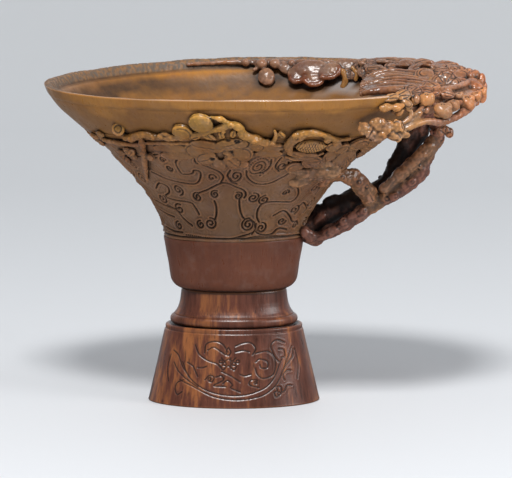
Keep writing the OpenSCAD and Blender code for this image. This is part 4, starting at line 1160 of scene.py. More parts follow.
class CUP_OT_handle(bpy.types.Operator):
    """Makes the branch handle: two main boughs, the inner strand, the fork and the knotted root"""
    bl_idname = "cup.handle"
    bl_label = "Make Handle"

    def execute(self, context):
        carving = settings("carving")
        bm, cuts = bmesh.new(), []
        boughs = [ways(on_handle(t), 8) for t in (FRONT_BOUGH, BACK_BOUGH, INNER_BOUGH, FORK)]
        for line, count, twist in zip(boughs, (3, 3, 2, 3), (0.03, -0.03, 0.04, 0.03)):
            body = line.copy()
            body[:, 3] *= 0.93
            add_ways(bm, [body], 4)
            add_strands(bm, line, count, twist)
        for root in ROOTS:
            add_ways(bm, [ways(on_handle(root), 5)], 3)
        for reach, span, rise, girth in HANDLE_KNOTS:
            centre = in_handle(reach, span, rise)
            x, y, n = (axis * girth * BOUGH for axis in facing((0.35, math.copysign(1, span), 0.15), 20))
            add_blob(bm, centre, x, y * 0.85, n * 0.75)
            cuts.append(circle(centre + n * 0.72, x * 0.42, y * 0.42, 12))
        self.swelling(bm)
        mesh = fuse("handle", bm, carving.voxel + 0.04)
        for k, line in enumerate(boughs):
            self.bark(cuts, line, k)
        carve(mesh, cuts, 0.36, 0.25, carving.chisel * 0.8, 41, 0.75, 0.34)
        self.paint_light_and_shade(mesh)
        make_piece("handle", mesh, "horn handle", "cup", "horn_handle",
                   ["handle_bough", "handle_back_bough", "handle_fork", "handle_root"])
        return {"FINISHED"}

    @staticmethod
    def swelling(bm):
        """The smooth swelling on the wall that feeds the fork."""
        for line in ([(-68, 0.49, -0.9, 1.3), (-60, 0.48, -0.5, 1.7), (-53, 0.49, 0, 2.0),
                      (-47, 0.5, 0.6, 2.1),
                      (-43, 0.505, 1.2, 1.9)],
                     [(-62, 0.40, -1.1, 1.4), (-54, 0.42, -0.6, 1.7), (-46, 0.45, 0.2, 1.8)],
                     [(-60, 0.45, -1.1, 1.7), (-53, 0.455, -0.6, 2.1), (-46, 0.475, 0.1, 2.2)],
                     [(-56, 0.545, -0.8, 1.5), (-49, 0.54, -0.2, 1.6), (-44, 0.525, 0.6, 1.5)]):
            add_ways(bm, [ways(on_wall(line), 6)], 4)

    @staticmethod
    def paint_light_and_shade(mesh):
        """Painted light on the horn where the fork grows from the wall and near the inner bough, and painted
        shade that makes the back bough's shaded face nearly black.
        """
        co, no = co_of(mesh), normals_of(mesh)
        # painted light where the fork grows from the wall, and near the inner bough and the fork's upper part
        light = clamp((49 - co[:, 0]) / 9) * clamp((co[:, 2] - 65) / 5)
        high = np.vstack([ways(on_handle(t), 8) for t in (INNER_BOUGH, FORK[2:])])[:, :3]
        near = clamp((4.4 - nearest(high, co)) / 1.6) * clamp((99 - co[:, 2]) / 6)
        light = np.maximum(light, near * 0.75)
        set_value(mesh, "light", light)
        # painted shade: the back bough's front faces nearly black under the canopy
        behind = clamp((co[:, 1] + 0.2 - 0.6 * np.clip(co[:, 2] - 84, 0, 9) / 9) / 1.6)
        facing_front = clamp(0.45 - no[:, 1] + 0.2 * no[:, 2])
        shade = behind * clamp(facing_front * 1.6) * clamp((101 - co[:, 2]) / 5)
        set_value(mesh, "shade", shade * clamp((co[:, 0] - 25) / 4))

    @staticmethod
    def bark(cuts, line, seed):
        """Broken lines along a bough's bark."""
        rng = np.random.default_rng(seed + 5)
        p, r, side, top = bough_axes(line)
        for _ in range(9):
            start = rng.integers(2, max(3, len(p) - 14))
            length = rng.integers(6, 13)
            a = rng.uniform(0, TURN) + np.linspace(0, rng.uniform(-0.5, 0.5), length)
            i = np.arange(start, min(start + length, len(p)))
            a = a[:len(i), None]
            cuts.append(p[i] + (side[i] * np.cos(a) + top[i] * np.sin(a)) * r[i] * 1.08)


# ---------------------------------------------------------------- Canopy

CANOPY_WAYS = [
    [(54.5, -41.5, 98.0, 1.3), (57.4, -41, 99.2, 1.3), (60.8, -40, 100.6, 1.25), (64.5, -38, 101.2, 1.2),
     (68.9, -35, 100.4, 1.25), (73.0, -31, 101.0, 1.5), (76.7, -27, 102.4, 1.5), (79.5, -21, 103.8, 1.5),
     (81.6, -13, 105.8, 1.6), (82.8, -5, 107.8, 1.6), (82.9, 4, 108.6, 1.6), (81, 13, 108.2, 1.5)],
    [(55.2, -41.5, 99.0, 0.8), (56.6, -41.3, 101.0, 0.85), (58.8, -40.5, 102.6, 0.85),
     (59.2, -40, 104.6, 0.8),
     (57.8, -40.5, 106.0, 0.7)],
    [(58.8, -40.5, 103.2, 0.7), (61.1, -38.5, 104.0, 0.8), (63.1, -36.5, 105.4, 0.9)],
    [(59.8, -40, 101.6, 0.6), (61.6, -39, 102.6, 0.6), (62.6, -38.5, 104.2, 0.7)],
    [(66.8, -35, 106.4, 0.9), (70, -33, 105.2, 0.9), (75, -28, 105.8, 1.1), (79, -20, 106.8, 1.3)],
    [(43.6, -24, 108.7, 1.0), (47, -24.4, 109.3, 1.3), (51, -23.8, 109.6, 1.4), (56.5, -22, 109.8, 1.2),
     (62, -20, 109.6, 0.9)],
    [(56.5, -33, 109.2, 0.7), (60, -31, 109.8, 0.9), (64.5, -28, 110.2, 0.9), (69, -24, 110.4, 0.8)],
    [(69, -24, 109.6, 0.9), (74, -18, 109.6, 1.1), (78, -11, 109.8, 1.2), (80.6, -3, 110.4, 1.1)],
]
CANOPY_TABLES = [
    [(50, 0.0, 0.84, 0.5), (40, 0.2, 0.85, 0.65), (30, 0.42, 0.87, 0.7), (20, 0.62, 0.9, 0.75),
     (11, 0.78, 0.94, 0.7),
     (2, 0.86, 0.99, 0.6)],
    [(-44, 0.05, 0.9, 0.3), (-39, 0.12, 0.91, 0.35), (-28, 0.2, 0.92, 0.45), (-15, 0.32, 0.95, 0.6),
     (0, 0.42, 0.98, 0.8),
     (15, 0.36, 0.99, 0.9), (30, 0.24, 0.99, 0.8), (44, 0.12, 0.98, 0.65), (54, 0.02, 0.97, 0.5)],
    [(-31, 0.36, 0.82, 0.45), (-30, 0.32, 0.89, 0.45), (-30, 0.22, 0.93, 0.4)],
    [(-19, 0.64, 0.87, 0.5), (-18, 0.52, 0.93, 0.5), (-17, 0.36, 0.99, 0.5)],
    [(-4, 0.88, 0.97, 0.5), (-3, 0.64, 0.99, 0.55), (-2, 0.42, 1.0, 0.55)],
    [(3, 0.0, 0.86, 1.1), (2, 0.22, 0.92, 1.0), (0, 0.42, 0.99, 0.8)],
    [(18, 0.64, 0.91, 0.5), (18, 0.5, 0.95, 0.5), (16, 0.36, 1.0, 0.5)],
    [(33, 0.36, 0.87, 0.45), (32, 0.3, 0.93, 0.45), (31, 0.25, 1.0, 0.45)],
    [(-9, 0.0, 0.84, 0.9), (-9, 0.4, 0.87, 0.75), (-10, 0.8, 0.92, 0.6)],
    [(9, 0.0, 0.86, 0.9), (9, 0.4, 0.9, 0.7), (8, 0.78, 0.95, 0.6)],
]
# Heads: [x, y, z, normal, spin, size, petals, opening, rise, veins]
CANOPY_HEADS = [
    (71.5, -11, 108.8, (0.1, -0.75, 0.75), 80, 6.4, 5, 330, 1.6, 2),
    (56.5, -31, 107.4, (0.0, -0.75, 0.75), -60, 4.6, 3, 170, 1.2, 2),
    (76.5, 6, 110.6, (0.3, -0.35, 0.9), 10, 5.0, 4, 240, 1.5, 2),
    (68.0, 14, 110.8, (0.2, 0.2, 0.95), 70, 6.0, 4, 240, 1.5, 2),
    (60.5, 21, 110.0, (0.1, 0.35, 0.92), 100, 5.6, 4, 240, 1.5, 2),
    (75.0, 14, 108.6, (0.6, 0.5, 0.7), 60, 5.4, 4, 220, 1.6, 2),
    (67.0, 25, 108.2, (0.45, 0.7, 0.6), 80, 5.4, 4, 220, 1.6, 2),
    (56.0, 33, 107.8, (0.2, 0.8, 0.6), 90, 5.2, 3, 200, 1.5, 2),
    (71.0, -10.4, 92.8, (0.3, -0.9, 0.2), 80, 3.4, 3, 200, 1.4, 1),
]
# Plates and lobes: [x, y, z, normal, spin, half length, half width, thickness, arcs, rays]
CANOPY_PLATES = [
    # the spray under the lip's right end
    (43.6, -44.2, 99.7, (-0.2, -1, 0.1), 100, 2.3, 2.1, 1.6, 0, 0),
    (48.4, -44.6, 101.2, (0, -1, 0.25), 170, 3.3, 2.3, 1.8, 0, 0),
    (51.6, -43.8, 100.4, (0.1, -1, 0.2), 20, 2.3, 2.2, 1.7, 0, 0),
    (54.2, -42.8, 99.9, (0.2, -1, 0.1), 0, 2.7, 2.6, 1.8, 1, 0),
    (48.6, -44.0, 97.0, (0, -1, -0.1), 200, 2.9, 1.9, 1.6, 1, 0),
    (53.2, -43.0, 97.1, (0.1, -1, -0.1), -20, 3.3, 1.9, 1.7, 1, 0),
    (50.2, -45.0, 98.9, (0, -1, 0), 30, 2.2, 1.7, 1.3, 0, 0),
    (45.8, -44.6, 98.2, (-0.1, -1, 0), 240, 2.2, 1.7, 1.4, 0, 1),
    (57.0, -41.8, 97.2, (0.2, -1, -0.2), -10, 2.2, 1.2, 1.2, 0, 0),
    # leaves between the lip and the first bud
    (52.4, -43.0, 109.7, (0.15, -0.8, 0.6), 12, 3.4, 1.7, 0.9, 0, 2),
    (56.6, -39.4, 110.2, (0.2, -0.75, 0.65), 15, 3.4, 2.3, 1.0, 1, 2),
    (60.6, -34.6, 110.4, (0.3, -0.7, 0.7), 20, 3.4, 2.4, 1.0, 1, 3),
    (57.6, -40.4, 107.6, (0.1, -1, 0.2), -30, 2.6, 1.6, 1.2, 1, 0),
    (61.0, -37.0, 108.4, (0.2, -0.9, 0.3), 80, 1.7, 1.3, 1.2, 0, 0),
    (64.4, -30.0, 110.6, (0.3, -0.6, 0.75), 0, 3.6, 2.4, 1.1, 1, 2),
    (63.0, -35.0, 105.6, (0.2, -0.9, 0), 60, 1.8, 1.2, 1.0, 0, 0),
    (55.4, -41.8, 104.6, (0.1, -1, 0), 40, 1.9, 1.1, 1.1, 0, 0),
    # scrolls and flat rocks over the right end of the mouth
    (59.8, 25, 110.7, (0.1, -0.5, 0.9), -70, 4.4, 3.6, 1.7, 2, 0),
    (64.6, 27, 111.4, (0, -0.4, 0.9), 10, 4.6, 3.2, 1.2, 1, 2),
    (72.5, 24, 111.0, (0.1, -0.4, 0.9), 0, 5.2, 3.6, 1.2, 1, 3),
    (64.6, 5, 110.8, (0, -0.5, 0.9), 190, 3.6, 4.2, 1.2, 2, 0),
    (69.5, 8, 111.2, (0, -0.4, 0.9), 20, 4.0, 4.2, 1.2, 1, 3),
    (63.0, 14, 111.4, (0, -0.4, 0.9), 30, 4.2, 3.6, 1.2, 1, 2),
    (77.4, 1, 110.6, (0.1, -0.6, 0.8), 0, 3.4, 3.8, 1.5, 2, 0),
    (66.5, -16, 109.4, (0, -0.6, 0.8), 160, 3.6, 3.4, 1.2, 1, 2),
    (61.0, -24, 109.8, (0, -0.6, 0.8), 170, 4.0, 2.8, 1.1, 1, 3),
    (76.8, -9, 109.2, (0.2, -0.7, 0.7), 0, 4.6, 2.2, 1.3, 0, 3),
    (70.5, 17, 111.6, (0.1, -0.2, 0.95), -20, 4.2, 3.6, 1.2, 2, 0),
    (76.0, 12, 111.6, (0.3, -0.1, 0.95), 20, 3.8, 4.0, 1.2, 1, 2),
    (55.0, 28, 110.0, (0, -0.4, 0.9), 150, 4.0, 3.4, 1.3, 1, 2),
    (48.6, 26, 109.4, (-0.1, -0.5, 0.85), 170, 4.2, 3.0, 1.2, 1, 3),
    # folds at the tip
    (81.2, -1, 111.7, (0.4, -0.7, 0.6), 20, 2.6, 1.8, 1.4, 1, 0),
    (83.7, -2, 110.0, (0.8, -0.6, 0.2), 80, 2.6, 1.6, 1.5, 0, 1),
    (84.4, -2, 107.4, (0.9, -0.4, 0), 90, 2.6, 1.6, 1.5, 0, 1),
    (84.0, -6, 104.9, (0.8, -0.6, -0.1), 80, 2.2, 1.5, 1.4, 0, 0),
    (66.8, -29.5, 109.6, (0, -0.7, 0.7), 10, 3.0, 1.9, 1.1, 1, 1),
    (71.6, -27.5, 108.6, (0.1, -0.7, 0.7), -20, 2.8, 1.9, 1.1, 1, 1),
    (64.6, -37.2, 104.6, (0, -0.9, 0.4), 60, 1.6, 1.0, 0.9, 0, 0),
    (80.6, -1, 110.0, (0.7, -0.6, 0.4), 80, 3.4, 1.5, 1.4, 0, 1),
    (82.4, 1, 108.6, (0.9, -0.4, 0.3), 85, 4.0, 1.5, 1.4, 0, 1),
    (83.4, 5, 107.6, (0.95, -0.2, 0.2), 90, 4.0, 1.7, 1.4, 0, 1),
    (81.2, -7, 107.6, (0.8, -0.6, 0.3), 75, 3.6, 1.5, 1.3, 0, 1),
    (80.2, 6, 111.0, (0.5, -0.4, 0.8), 40, 3.4, 2.4, 1.3, 1, 1),
    (82.0, -12, 105.4, (0.85, -0.5, 0.1), 80, 3.0, 1.4, 1.2, 0, 0),
]
ROCK_RIDGES = [
    [(43.5, 12, 107.6, 0.5), (48, 14.5, 109.8, 0.8), (55, 14.5, 111.0, 0.9), (62, 11, 111.0, 0.6)],
    [(43.2, 8, 107.4, 0.5), (48, 10.5, 109.4, 0.8), (54, 10, 110.6, 0.9), (61, 6, 110.8, 0.6)],
    [(43.0, 4, 107.4, 0.5), (48, 6, 109.2, 0.7), (54, 6, 110.4, 0.9), (62, 1, 110.6, 0.6)],
    [(43.0, 0, 107.4, 0.6), (47.5, 1.5, 108.9, 0.7), (54, 1, 110.1, 0.9), (60, -2, 110.4, 0.8),
     (66, -8, 110.2, 0.5)],
    [(42.8, -4, 107.2, 0.6), (48, -3.5, 108.6, 0.9), (54, -4, 109.8, 0.8), (60, -8, 110.2, 0.8),
     (67, -13, 109.8, 0.5)],
    [(42.6, -8, 107.0, 0.6), (48, -8, 108.4, 0.7), (54, -9, 109.6, 0.9), (61, -13, 109.8, 0.6)],
    [(42.6, -12, 106.8, 0.6), (48, -12, 108.2, 0.9), (54, -14, 109.2, 0.8), (60, -18, 109.4, 0.6)],
    [(42.8, -16, 107.0, 0.8), (48, -16, 108.4, 1.2), (54, -18, 109.2, 1.1), (59, -21, 109.2, 0.8)],
]
BUDS = [
    (64.4, -35, 108.0, 2.6), (69.9, -34.5, 104.3, 3.0), (73.6, -30.5, 105.5, 2.2), (78.3, -25, 105.6, 2.7),
    (81.6, -17.5, 106.6, 1.9), (60.4, -36.6, 107.8, 1.5), (75.4, -26, 108.0, 1.5),
    (83.2, 9, 107.6, 1.9), (78.5, 19, 106.8, 2.1), (71.5, 27, 106.2, 2.0), (62.5, 33, 106.6, 2.1),
    (83.6, -9, 107.2, 1.6)]


class CUP_OT_canopy(bpy.types.Operator):
    """Makes the openwork canopy past the rim: its net of boughs, ridged rocks, leaf sprays and buds"""
    bl_idname = "cup.canopy"
    bl_label = "Make Canopy"

    def execute(self, context):
        carving = settings("carving")
        bm, cuts = bmesh.new(), []
        add_ways(bm, [ways(w, 6) for w in CANOPY_WAYS] + [ways(on_canopy(t), 6) for t in CANOPY_TABLES], 3)
        add_ways(bm, [ways(w, 5) for w in ROCK_RIDGES], 2)
        self.bed(bm)
        for x, y, z, n, spin, size, petals, opening, rise, veins in CANOPY_HEADS:
            add_head(bm, cuts, (x, y, z), n, spin, size, petals, opening, rise, 0, 0.2, veins)
        for x, y, z, normal, spin, half, wide, thick, arcs, rays in CANOPY_PLATES:
            u, v, n = facing(normal, spin)
            add_plate(bm, cuts, np.array([x, y, z]), u * half, v * wide, n * thick, arcs, rays)
        rng = np.random.default_rng(17)
        for x, y, z, normal, spin, half, wide, thick, arcs, rays in CANOPY_PLATES[:9]:
            u, v, n = facing(normal, spin)
            for a, q in rng.uniform((0, 0.35), (TURN, 1), (9, 2)):
                add_ball(bm, np.array([x, y, z]) + u * half * q * math.cos(a) + v * wide * q * math.sin(a)
                         + n * thick * 0.85 * math.sqrt(1 - q * q), rng.uniform(0.45, 0.8), 2)
        # a little coarser than the other pieces, because the canopy is the largest one
        mesh = fuse("canopy", bm, carving.voxel + 0.02)
        carve(mesh, cuts, 0.28, 0.26, carving.chisel * 0.5, 51, 0.6, 0.14)
        co = co_of(mesh)
        set_value(mesh, "light", clamp((-37 - co[:, 1]) / 3) * clamp((70 - co[:, 0]) / 8))
        make_piece("canopy", mesh, "horn canopy", "cup", "horn_canopy", ["canopy_boughs", "canopy_fans"])
        self.buds()
        return {"FINISHED"}

    @staticmethod
    def bed(bm):
        """The thin bed of horn between the strands that carries the leaves."""
        for x, y, z, a, b in ((60, -26, 108.0, 6, 6), (52, -6, 107.8, 8.5, 10), (52, 10, 108.4, 8, 9),
                              (62, -10, 109.0, 8, 9),
                              (62, 8, 109.8, 8, 9), (71, -8, 108.8, 8, 8), (71, 6, 109.6, 8, 9),
                              (72, -18, 107.4, 6.5, 6),
                              (63, 22, 109.0, 8, 8), (77, -2, 108.6, 5, 8), (53, 24, 108.2, 7, 7),
                              (70, 18, 109.4, 7, 7),
                              (78, -12, 107.4, 4.5, 7), (79.5, -10, 106.0, 3.6, 6)):
            add_blob(bm, (x, y, z), (a, 0, 0), (0, b, 0), (0, 0, 1.15))
        add_blob(bm, (81.2, -5, 108.2), (2.9, 0, -1.4), (0, 6, 0), (0.8, 0, 2.9))

    @staticmethod
    def buds():
        bm = bmesh.new()
        for k, (x, y, z, r) in enumerate(BUDS):
            add_blob(bm, (x, y, z), (r * 1.04, 0, -0.1 * r), (0, r, 0),
                     (0.15 * r * (-1) ** k, 0, r * 0.92), 4)
            add_ball(bm, (x + r * 0.55, y - r * 0.1, z + r * 0.45), r * 0.5)
            add_ball(bm, (x - r * 0.5, y - r * 0.1, z - r * 0.5), r * 0.48)
        leaf = [(49.0, -45.2, 106.4, 1.0), (50.8, -44.9, 106.7, 1.5), (52.6, -44.2, 106.9, 1.0),
                (54.3, -43.4, 106.6, 1.35), (56.4, -42.0, 107.2, 0.8)]
        add_ways(bm, [ways(leaf, 8)], 5)
        # the amber stalks behind the right end of the mouth
        for stalk in ([(37.4, 40.6, 107.4, 0.9), (38.2, 40.2, 104.8, 1.1), (37.6, 40, 101.6, 1.2)],
                      [(40.6, 40.2, 108.4, 0.8), (42.2, 39.4, 106.4, 0.9), (41.8, 39, 104.4, 0.8)]):
            add_ways(bm, [ways(stalk, 6)], 3)
        mesh = fuse("buds", bm, 0.3, 1)
        co, no = co_of(mesh), normals_of(mesh)
        put_co(mesh, co + no * (0.16 * ripple(co, 3.0, 61) + 0.05 * ripple(co, 1.3, 62))[:, None])
        cuts = []
        for x, y, z, r in BUDS:
            cuts.append(circle((x, y - r * 0.55, z + r * 0.8), (r * 0.2, 0, 0), (0, r * 0.2, 0), 6, end=6.2))
        carve(mesh, cuts, 0.3, 0.22)
        make_piece("buds", mesh, "horn amber", "cup", "horn_amber", ["canopy_buds"])


# ---------------------------------------------------------------- Relief on the wall

FRONT_WAYS = [
    [(-137, 0.735, 0.3, 0.8), (-136, 0.735, 0.5, 1.0), (-132, 0.745, 0.6, 1.0), (-127, 0.77, 0.7, 1.05),
     (-123, 0.755, 0.5, 0.9), (-116, 0.755, 0.5, 0.9), (-108, 0.79, 0.7, 0.9), (-102, 0.835, 0.8, 0.9),
     (-98.5, 0.865, 0.9, 1.0), (-96, 0.84, 0.9, 1.0), (-94.5, 0.79, 0.9, 1.05), (-91.5, 0.765, 0.9, 1.3),
     (-88.5, 0.735, 0.8, 1.2), (-86, 0.735, 0.7, 0.7), (-85.8, 0.77, 0.7, 0.5), (-87, 0.82, 0.8, 0.3)],
    [(-130, 0.73, 0.3, 0.7), (-131.5, 0.67, 0.5, 0.8), (-135, 0.585, 0.5, 0.75), (-140, 0.49, 0.4, 0.65),
     (-146, 0.41, 0.3, 0.45)],
    [(-75, 0.63, 0.3, 0.7), (-78, 0.67, 0.7, 1.0), (-80, 0.73, 0.9, 1.3), (-78.5, 0.79, 0.9, 1.3),
     (-75, 0.80, 0.8, 0.9),
     (-70, 0.785, 0.7, 0.7), (-65, 0.755, 0.7, 0.8), (-60, 0.735, 0.7, 0.7), (-54, 0.735, 0.6, 0.6)],
    [(-77, 0.61, 0.3, 0.4), (-71, 0.595, 0.5, 0.5), (-65, 0.605, 0.5, 0.5), (-60, 0.63, 0.5, 0.4)],
    [(-104, 0.90, 0.3, 0.5), (-101.5, 0.895, 0.6, 0.7), (-99, 0.875, 0.9, 0.6)],
    [(-108, 0.79, 0.3, 0.4), (-106, 0.765, 0.5, 0.45), (-103, 0.745, 0.3, 0.4)],
    [(-101, 0.84, 0.3, 0.4), (-100.5, 0.80, 0.5, 0.45), (-101.5, 0.76, 0.3, 0.4)],
    [(-161, 0.70, 0.3, 0.6), (-153, 0.685, 0.4, 0.6), (-146, 0.68, 0.5, 0.65), (-139, 0.675, 0.5, 0.6),
     (-133, 0.68, 0.4, 0.6)],
    [(-48, 0.60, 0.4, 0.9), (-42, 0.56, 0.4, 1.0), (-36, 0.54, 0.3, 0.9)],
]
# Ledges: [angle, height share, standing share, girth share]
FRONT_LEDGES = [
    [(-129, 0.69, 0.1, 0.5), (-120, 0.70, 0.1, 0.6), (-111, 0.70, 0.1, 0.5)],
    [(-91, 0.705, 0.1, 0.5), (-85, 0.70, 0.15, 0.5), (-79, 0.69, 0.1, 0.4)],
]
# Heads: [angle, height share, spin, size, petals, opening, rise, boss, veins]
FRONT_HEADS = [
    (-142, 0.60, 200, 3.2, 3, 200, 1.2, 0, 1), (-149, 0.565, 170, 3.4, 3, 200, 1.1, 0, 1),
    (-152, 0.70, 160, 3.2, 3, 220, 1.2, 0, 1), (-162, 0.66, 180, 3.4, 3, 220, 1.2, 0, 1),
    (-27, 0.74, 50, 5.4, 4, 220, 1.6, 0, 2), (-24, 0.60, -60, 4.2, 3, 200, 1.3, 0, 1),
    (-18, 0.66, 0, 4.8, 4, 220, 1.4, 0, 2),
]
# Petals and leaves: [angle, height share, lift, spin, half length, half width, thickness, arcs, rays]
FRONT_PETALS = [
    (-113, 0.795, 0.7, 8, 3.8, 3.9, 1.7, 1, 0), (-106.8, 0.865, 0.9, 0, 4.4, 4.4, 2.0, 0, 0),
    (-119, 0.765, 0.4, -20, 2.1, 1.5, 1.0, 0, 1), (-117, 0.74, 0.4, 10, 2.4, 1.3, 0.9, 0, 1),
    (-109.5, 0.755, 0.4, -160, 2.4, 1.2, 0.8, 0, 1), (-104.5, 0.765, 0.4, 130, 2.2, 1.2, 0.9, 0, 1),
    (-101, 0.775, 0.4, 100, 2.0, 1.2, 0.9, 0, 1), (-97.5, 0.785, 0.4, 75, 2.2, 1.2, 0.9, 0, 1),
    # the open blossom round its eye
    (-106.6, 0.685, 0.2, 168, 5.6, 3.4, 1.2, 0, 1), (-97.6, 0.70, 0.25, 12, 6.0, 3.4, 1.3, 0, 2),
    (-93.3, 0.635, 0.3, -15, 3.7, 4.6, 1.3, 1, 0), (-96.4, 0.575, 0.3, -50, 3.6, 3.5, 1.2, 1, 1),
    (-101.6, 0.55, 0.3, -95, 3.0, 3.2, 1.1, 1, 0), (-106.8, 0.595, 0.2, 205, 4.3, 3.7, 1.1, 1, 1),
    (-111, 0.65, 0.1, 180, 3.8, 4.0, 1.0, 1, 0), (-102.4, 0.665, 0.6, 100, 1.4, 2.8, 0.9, 0, 0),
    (-98.5, 0.625, 0.6, 20, 2.0, 2.6, 1.1, 0, 0), (-104.4, 0.62, 0.45, 20, 1.5, 2.4, 0.8, 0, 0),
    (-89.4, 0.69, 0.2, 40, 2.8, 3.2, 1.0, 1, 0), (-92.2, 0.56, 0.2, -60, 2.4, 2.0, 0.8, 0, 0),
    # broad bars like split twigs
    (-119.5, 0.655, 0, 0, 7.2, 2.4, 0.9, 0, 0), (-118.5, 0.605, 0, 0, 6.4, 2.3, 0.9, 0, 0),
    (-85.5, 0.67, 0.1, 0, 5.4, 2.1, 0.8, 0, 0), (-84.5, 0.63, 0.1, 0, 5.0, 1.9, 0.8, 0, 0),
    (-132, 0.585, 0.3, -90, 1.9, 1.6, 1.3, 0, 0), (-142, 0.60, 0.2, -140, 3.0, 1.6, 1.0, 0, 1),
    (-84, 0.775, 0.4, 120, 2.2, 1.3, 0.9, 0, 1), (-72, 0.63, 0.6, -22, 4.6, 1.8, 1.1, 0, 1),
    (-66, 0.615, 0.6, -10, 3.4, 1.8, 1.0, 0, 1),
    # leaves before the fork
    (-58.5, 0.685, 0.8, 80, 3.2, 3.0, 1.3, 1, 0), (-51.5, 0.655, 0.7, 70, 3.4, 3.0, 1.3, 1, 1),
    (-42, 0.57, 0.8, -60, 6.0, 5.2, 1.7, 2, 4), (-43, 0.68, 0.8, 10, 4.6, 3.6, 1.6, 1, 1),
    (-33.5, 0.67, 1.2, -10, 4.4, 3.6, 1.8, 1, 1), (-62, 0.57, 0.6, -15, 4.0, 3.4, 1.3, 1, 2),
    (-69, 0.53, 0.3, 200, 3.2, 2.6, 1.0, 1, 0), (-53, 0.53, 0.5, -30, 4.0, 2.8, 1.1, 1, 1),
    (-54, 0.605, 0.6, -70, 3.4, 3.0, 1.2, 1, 0), (-48, 0.51, 0.5, -50, 3.4, 2.4, 1.1, 0, 1),
    (-36, 0.51, 0.7, -80, 3.6, 3.0, 1.4, 0, 2),
]
FRONT_KNOTS = [
    (-124, 0.76, 0.9, 0.8), (-114, 0.76, 0.9, 0.7), (-98.5, 0.87, 1.3, 0.8), (-91, 0.765, 1.5, 0.8),
    (-133, 0.63, 0.9, 0.7),
    (-80, 0.79, 1.2, 0.9), (-66, 0.75, 1.0, 0.8), (-60, 0.72, 1.0, 0.8), (-133, 0.74, 1.0, 0.75),
    (-86, 0.735, 1.1, 0.7),
    (-121, 0.765, 0.8, 0.7)]
BACK_WAYS = [
    [(141, 0.66, 0.4, 0.6), (134, 0.71, 0.6, 0.9), (127, 0.745, 0.6, 1.0), (119, 0.73, 0.6, 1.0),
     (111, 0.70, 0.5, 1.0),
     (104, 0.73, 0.6, 1.1), (98, 0.79, 0.8, 1.1), (92, 0.83, 0.9, 1.1), (87, 0.79, 0.8, 1.1),
     (82, 0.73, 0.7, 1.1),
     (75, 0.70, 0.6, 1.1), (67, 0.73, 0.6, 1.1), (58, 0.77, 0.6, 1.1), (48, 0.80, 0.6, 1.1),
     (38, 0.80, 0.5, 1.2)],
    [(109, 0.70, 0.3, 0.8), (107, 0.63, 0.45, 0.8), (109, 0.56, 0.45, 0.7), (113, 0.50, 0.35, 0.5)],
    [(78, 0.70, 0.3, 0.8), (72, 0.63, 0.5, 0.9), (63, 0.58, 0.5, 0.9), (52, 0.56, 0.5, 1.0),
     (40, 0.52, 0.4, 1.2)],
    [(141, 0.66, 0.4, 0.6), (150, 0.69, 0.4, 0.7), (160, 0.665, 0.35, 0.6), (170, 0.68, 0.3, 0.5),
     (178, 0.67, 0.3, 0.4)],
]
BACK_LEDGES = [
    [(140, 0.625, 0.2, 0.5), (128, 0.64, 0.25, 0.5), (116, 0.645, 0.25, 0.5)],
    [(102, 0.655, 0.25, 0.5), (94, 0.65, 0.3, 0.5), (86, 0.65, 0.25, 0.5)],
]
BACK_HEADS = [
    (122, 0.80, 10, 5.2, 5, 360, 1.7, 0.28, 2), (96, 0.66, 40, 6.0, 5, 360, 1.7, 0.28, 2),
    (82, 0.87, 90, 5.0, 4, 300, 1.6, 0, 2), (66, 0.66, 20, 5.4, 5, 360, 1.6, 0.28, 1),
    (50, 0.68, 30, 5.0, 4, 360, 1.6, 0.25, 1), (133, 0.66, 200, 4.4, 4, 240, 1.4, 0, 2),
    (112, 0.62, -60, 4.2, 3, 200, 1.3, 0, 2), (76, 0.61, -80, 4.2, 3, 200, 1.3, 0, 2),
    (58, 0.80, 70, 4.6, 4, 240, 1.5, 0, 2),
    (42, 0.75, 70, 5.2, 4, 240, 1.6, 0, 2), (34, 0.68, 20, 5.0, 4, 240, 1.5, 0, 2),
    (104, 0.80, 100, 4.2, 3, 200, 1.4, 0, 2),
    (148, 0.64, 160, 3.6, 3, 220, 1.2, 0, 1), (162, 0.655, 180, 3.6, 3, 220, 1.2, 0, 1),
    (174, 0.665, 0, 3.4, 3, 240, 1.2, 0, 1),
    (26, 0.74, 60, 4.8, 4, 240, 1.5, 0, 2)]
BACK_KNOTS = [
    (130, 0.735, 1.1, 0.9), (115, 0.715, 1.0, 0.8), (101, 0.76, 1.2, 0.9), (90, 0.82, 1.3, 0.9),
    (78, 0.71, 1.1, 0.9),
    (62, 0.755, 1.1, 0.9), (53, 0.79, 1.1, 0.9), (58, 0.57, 0.9, 0.8), (108, 0.6, 0.9, 0.7)]


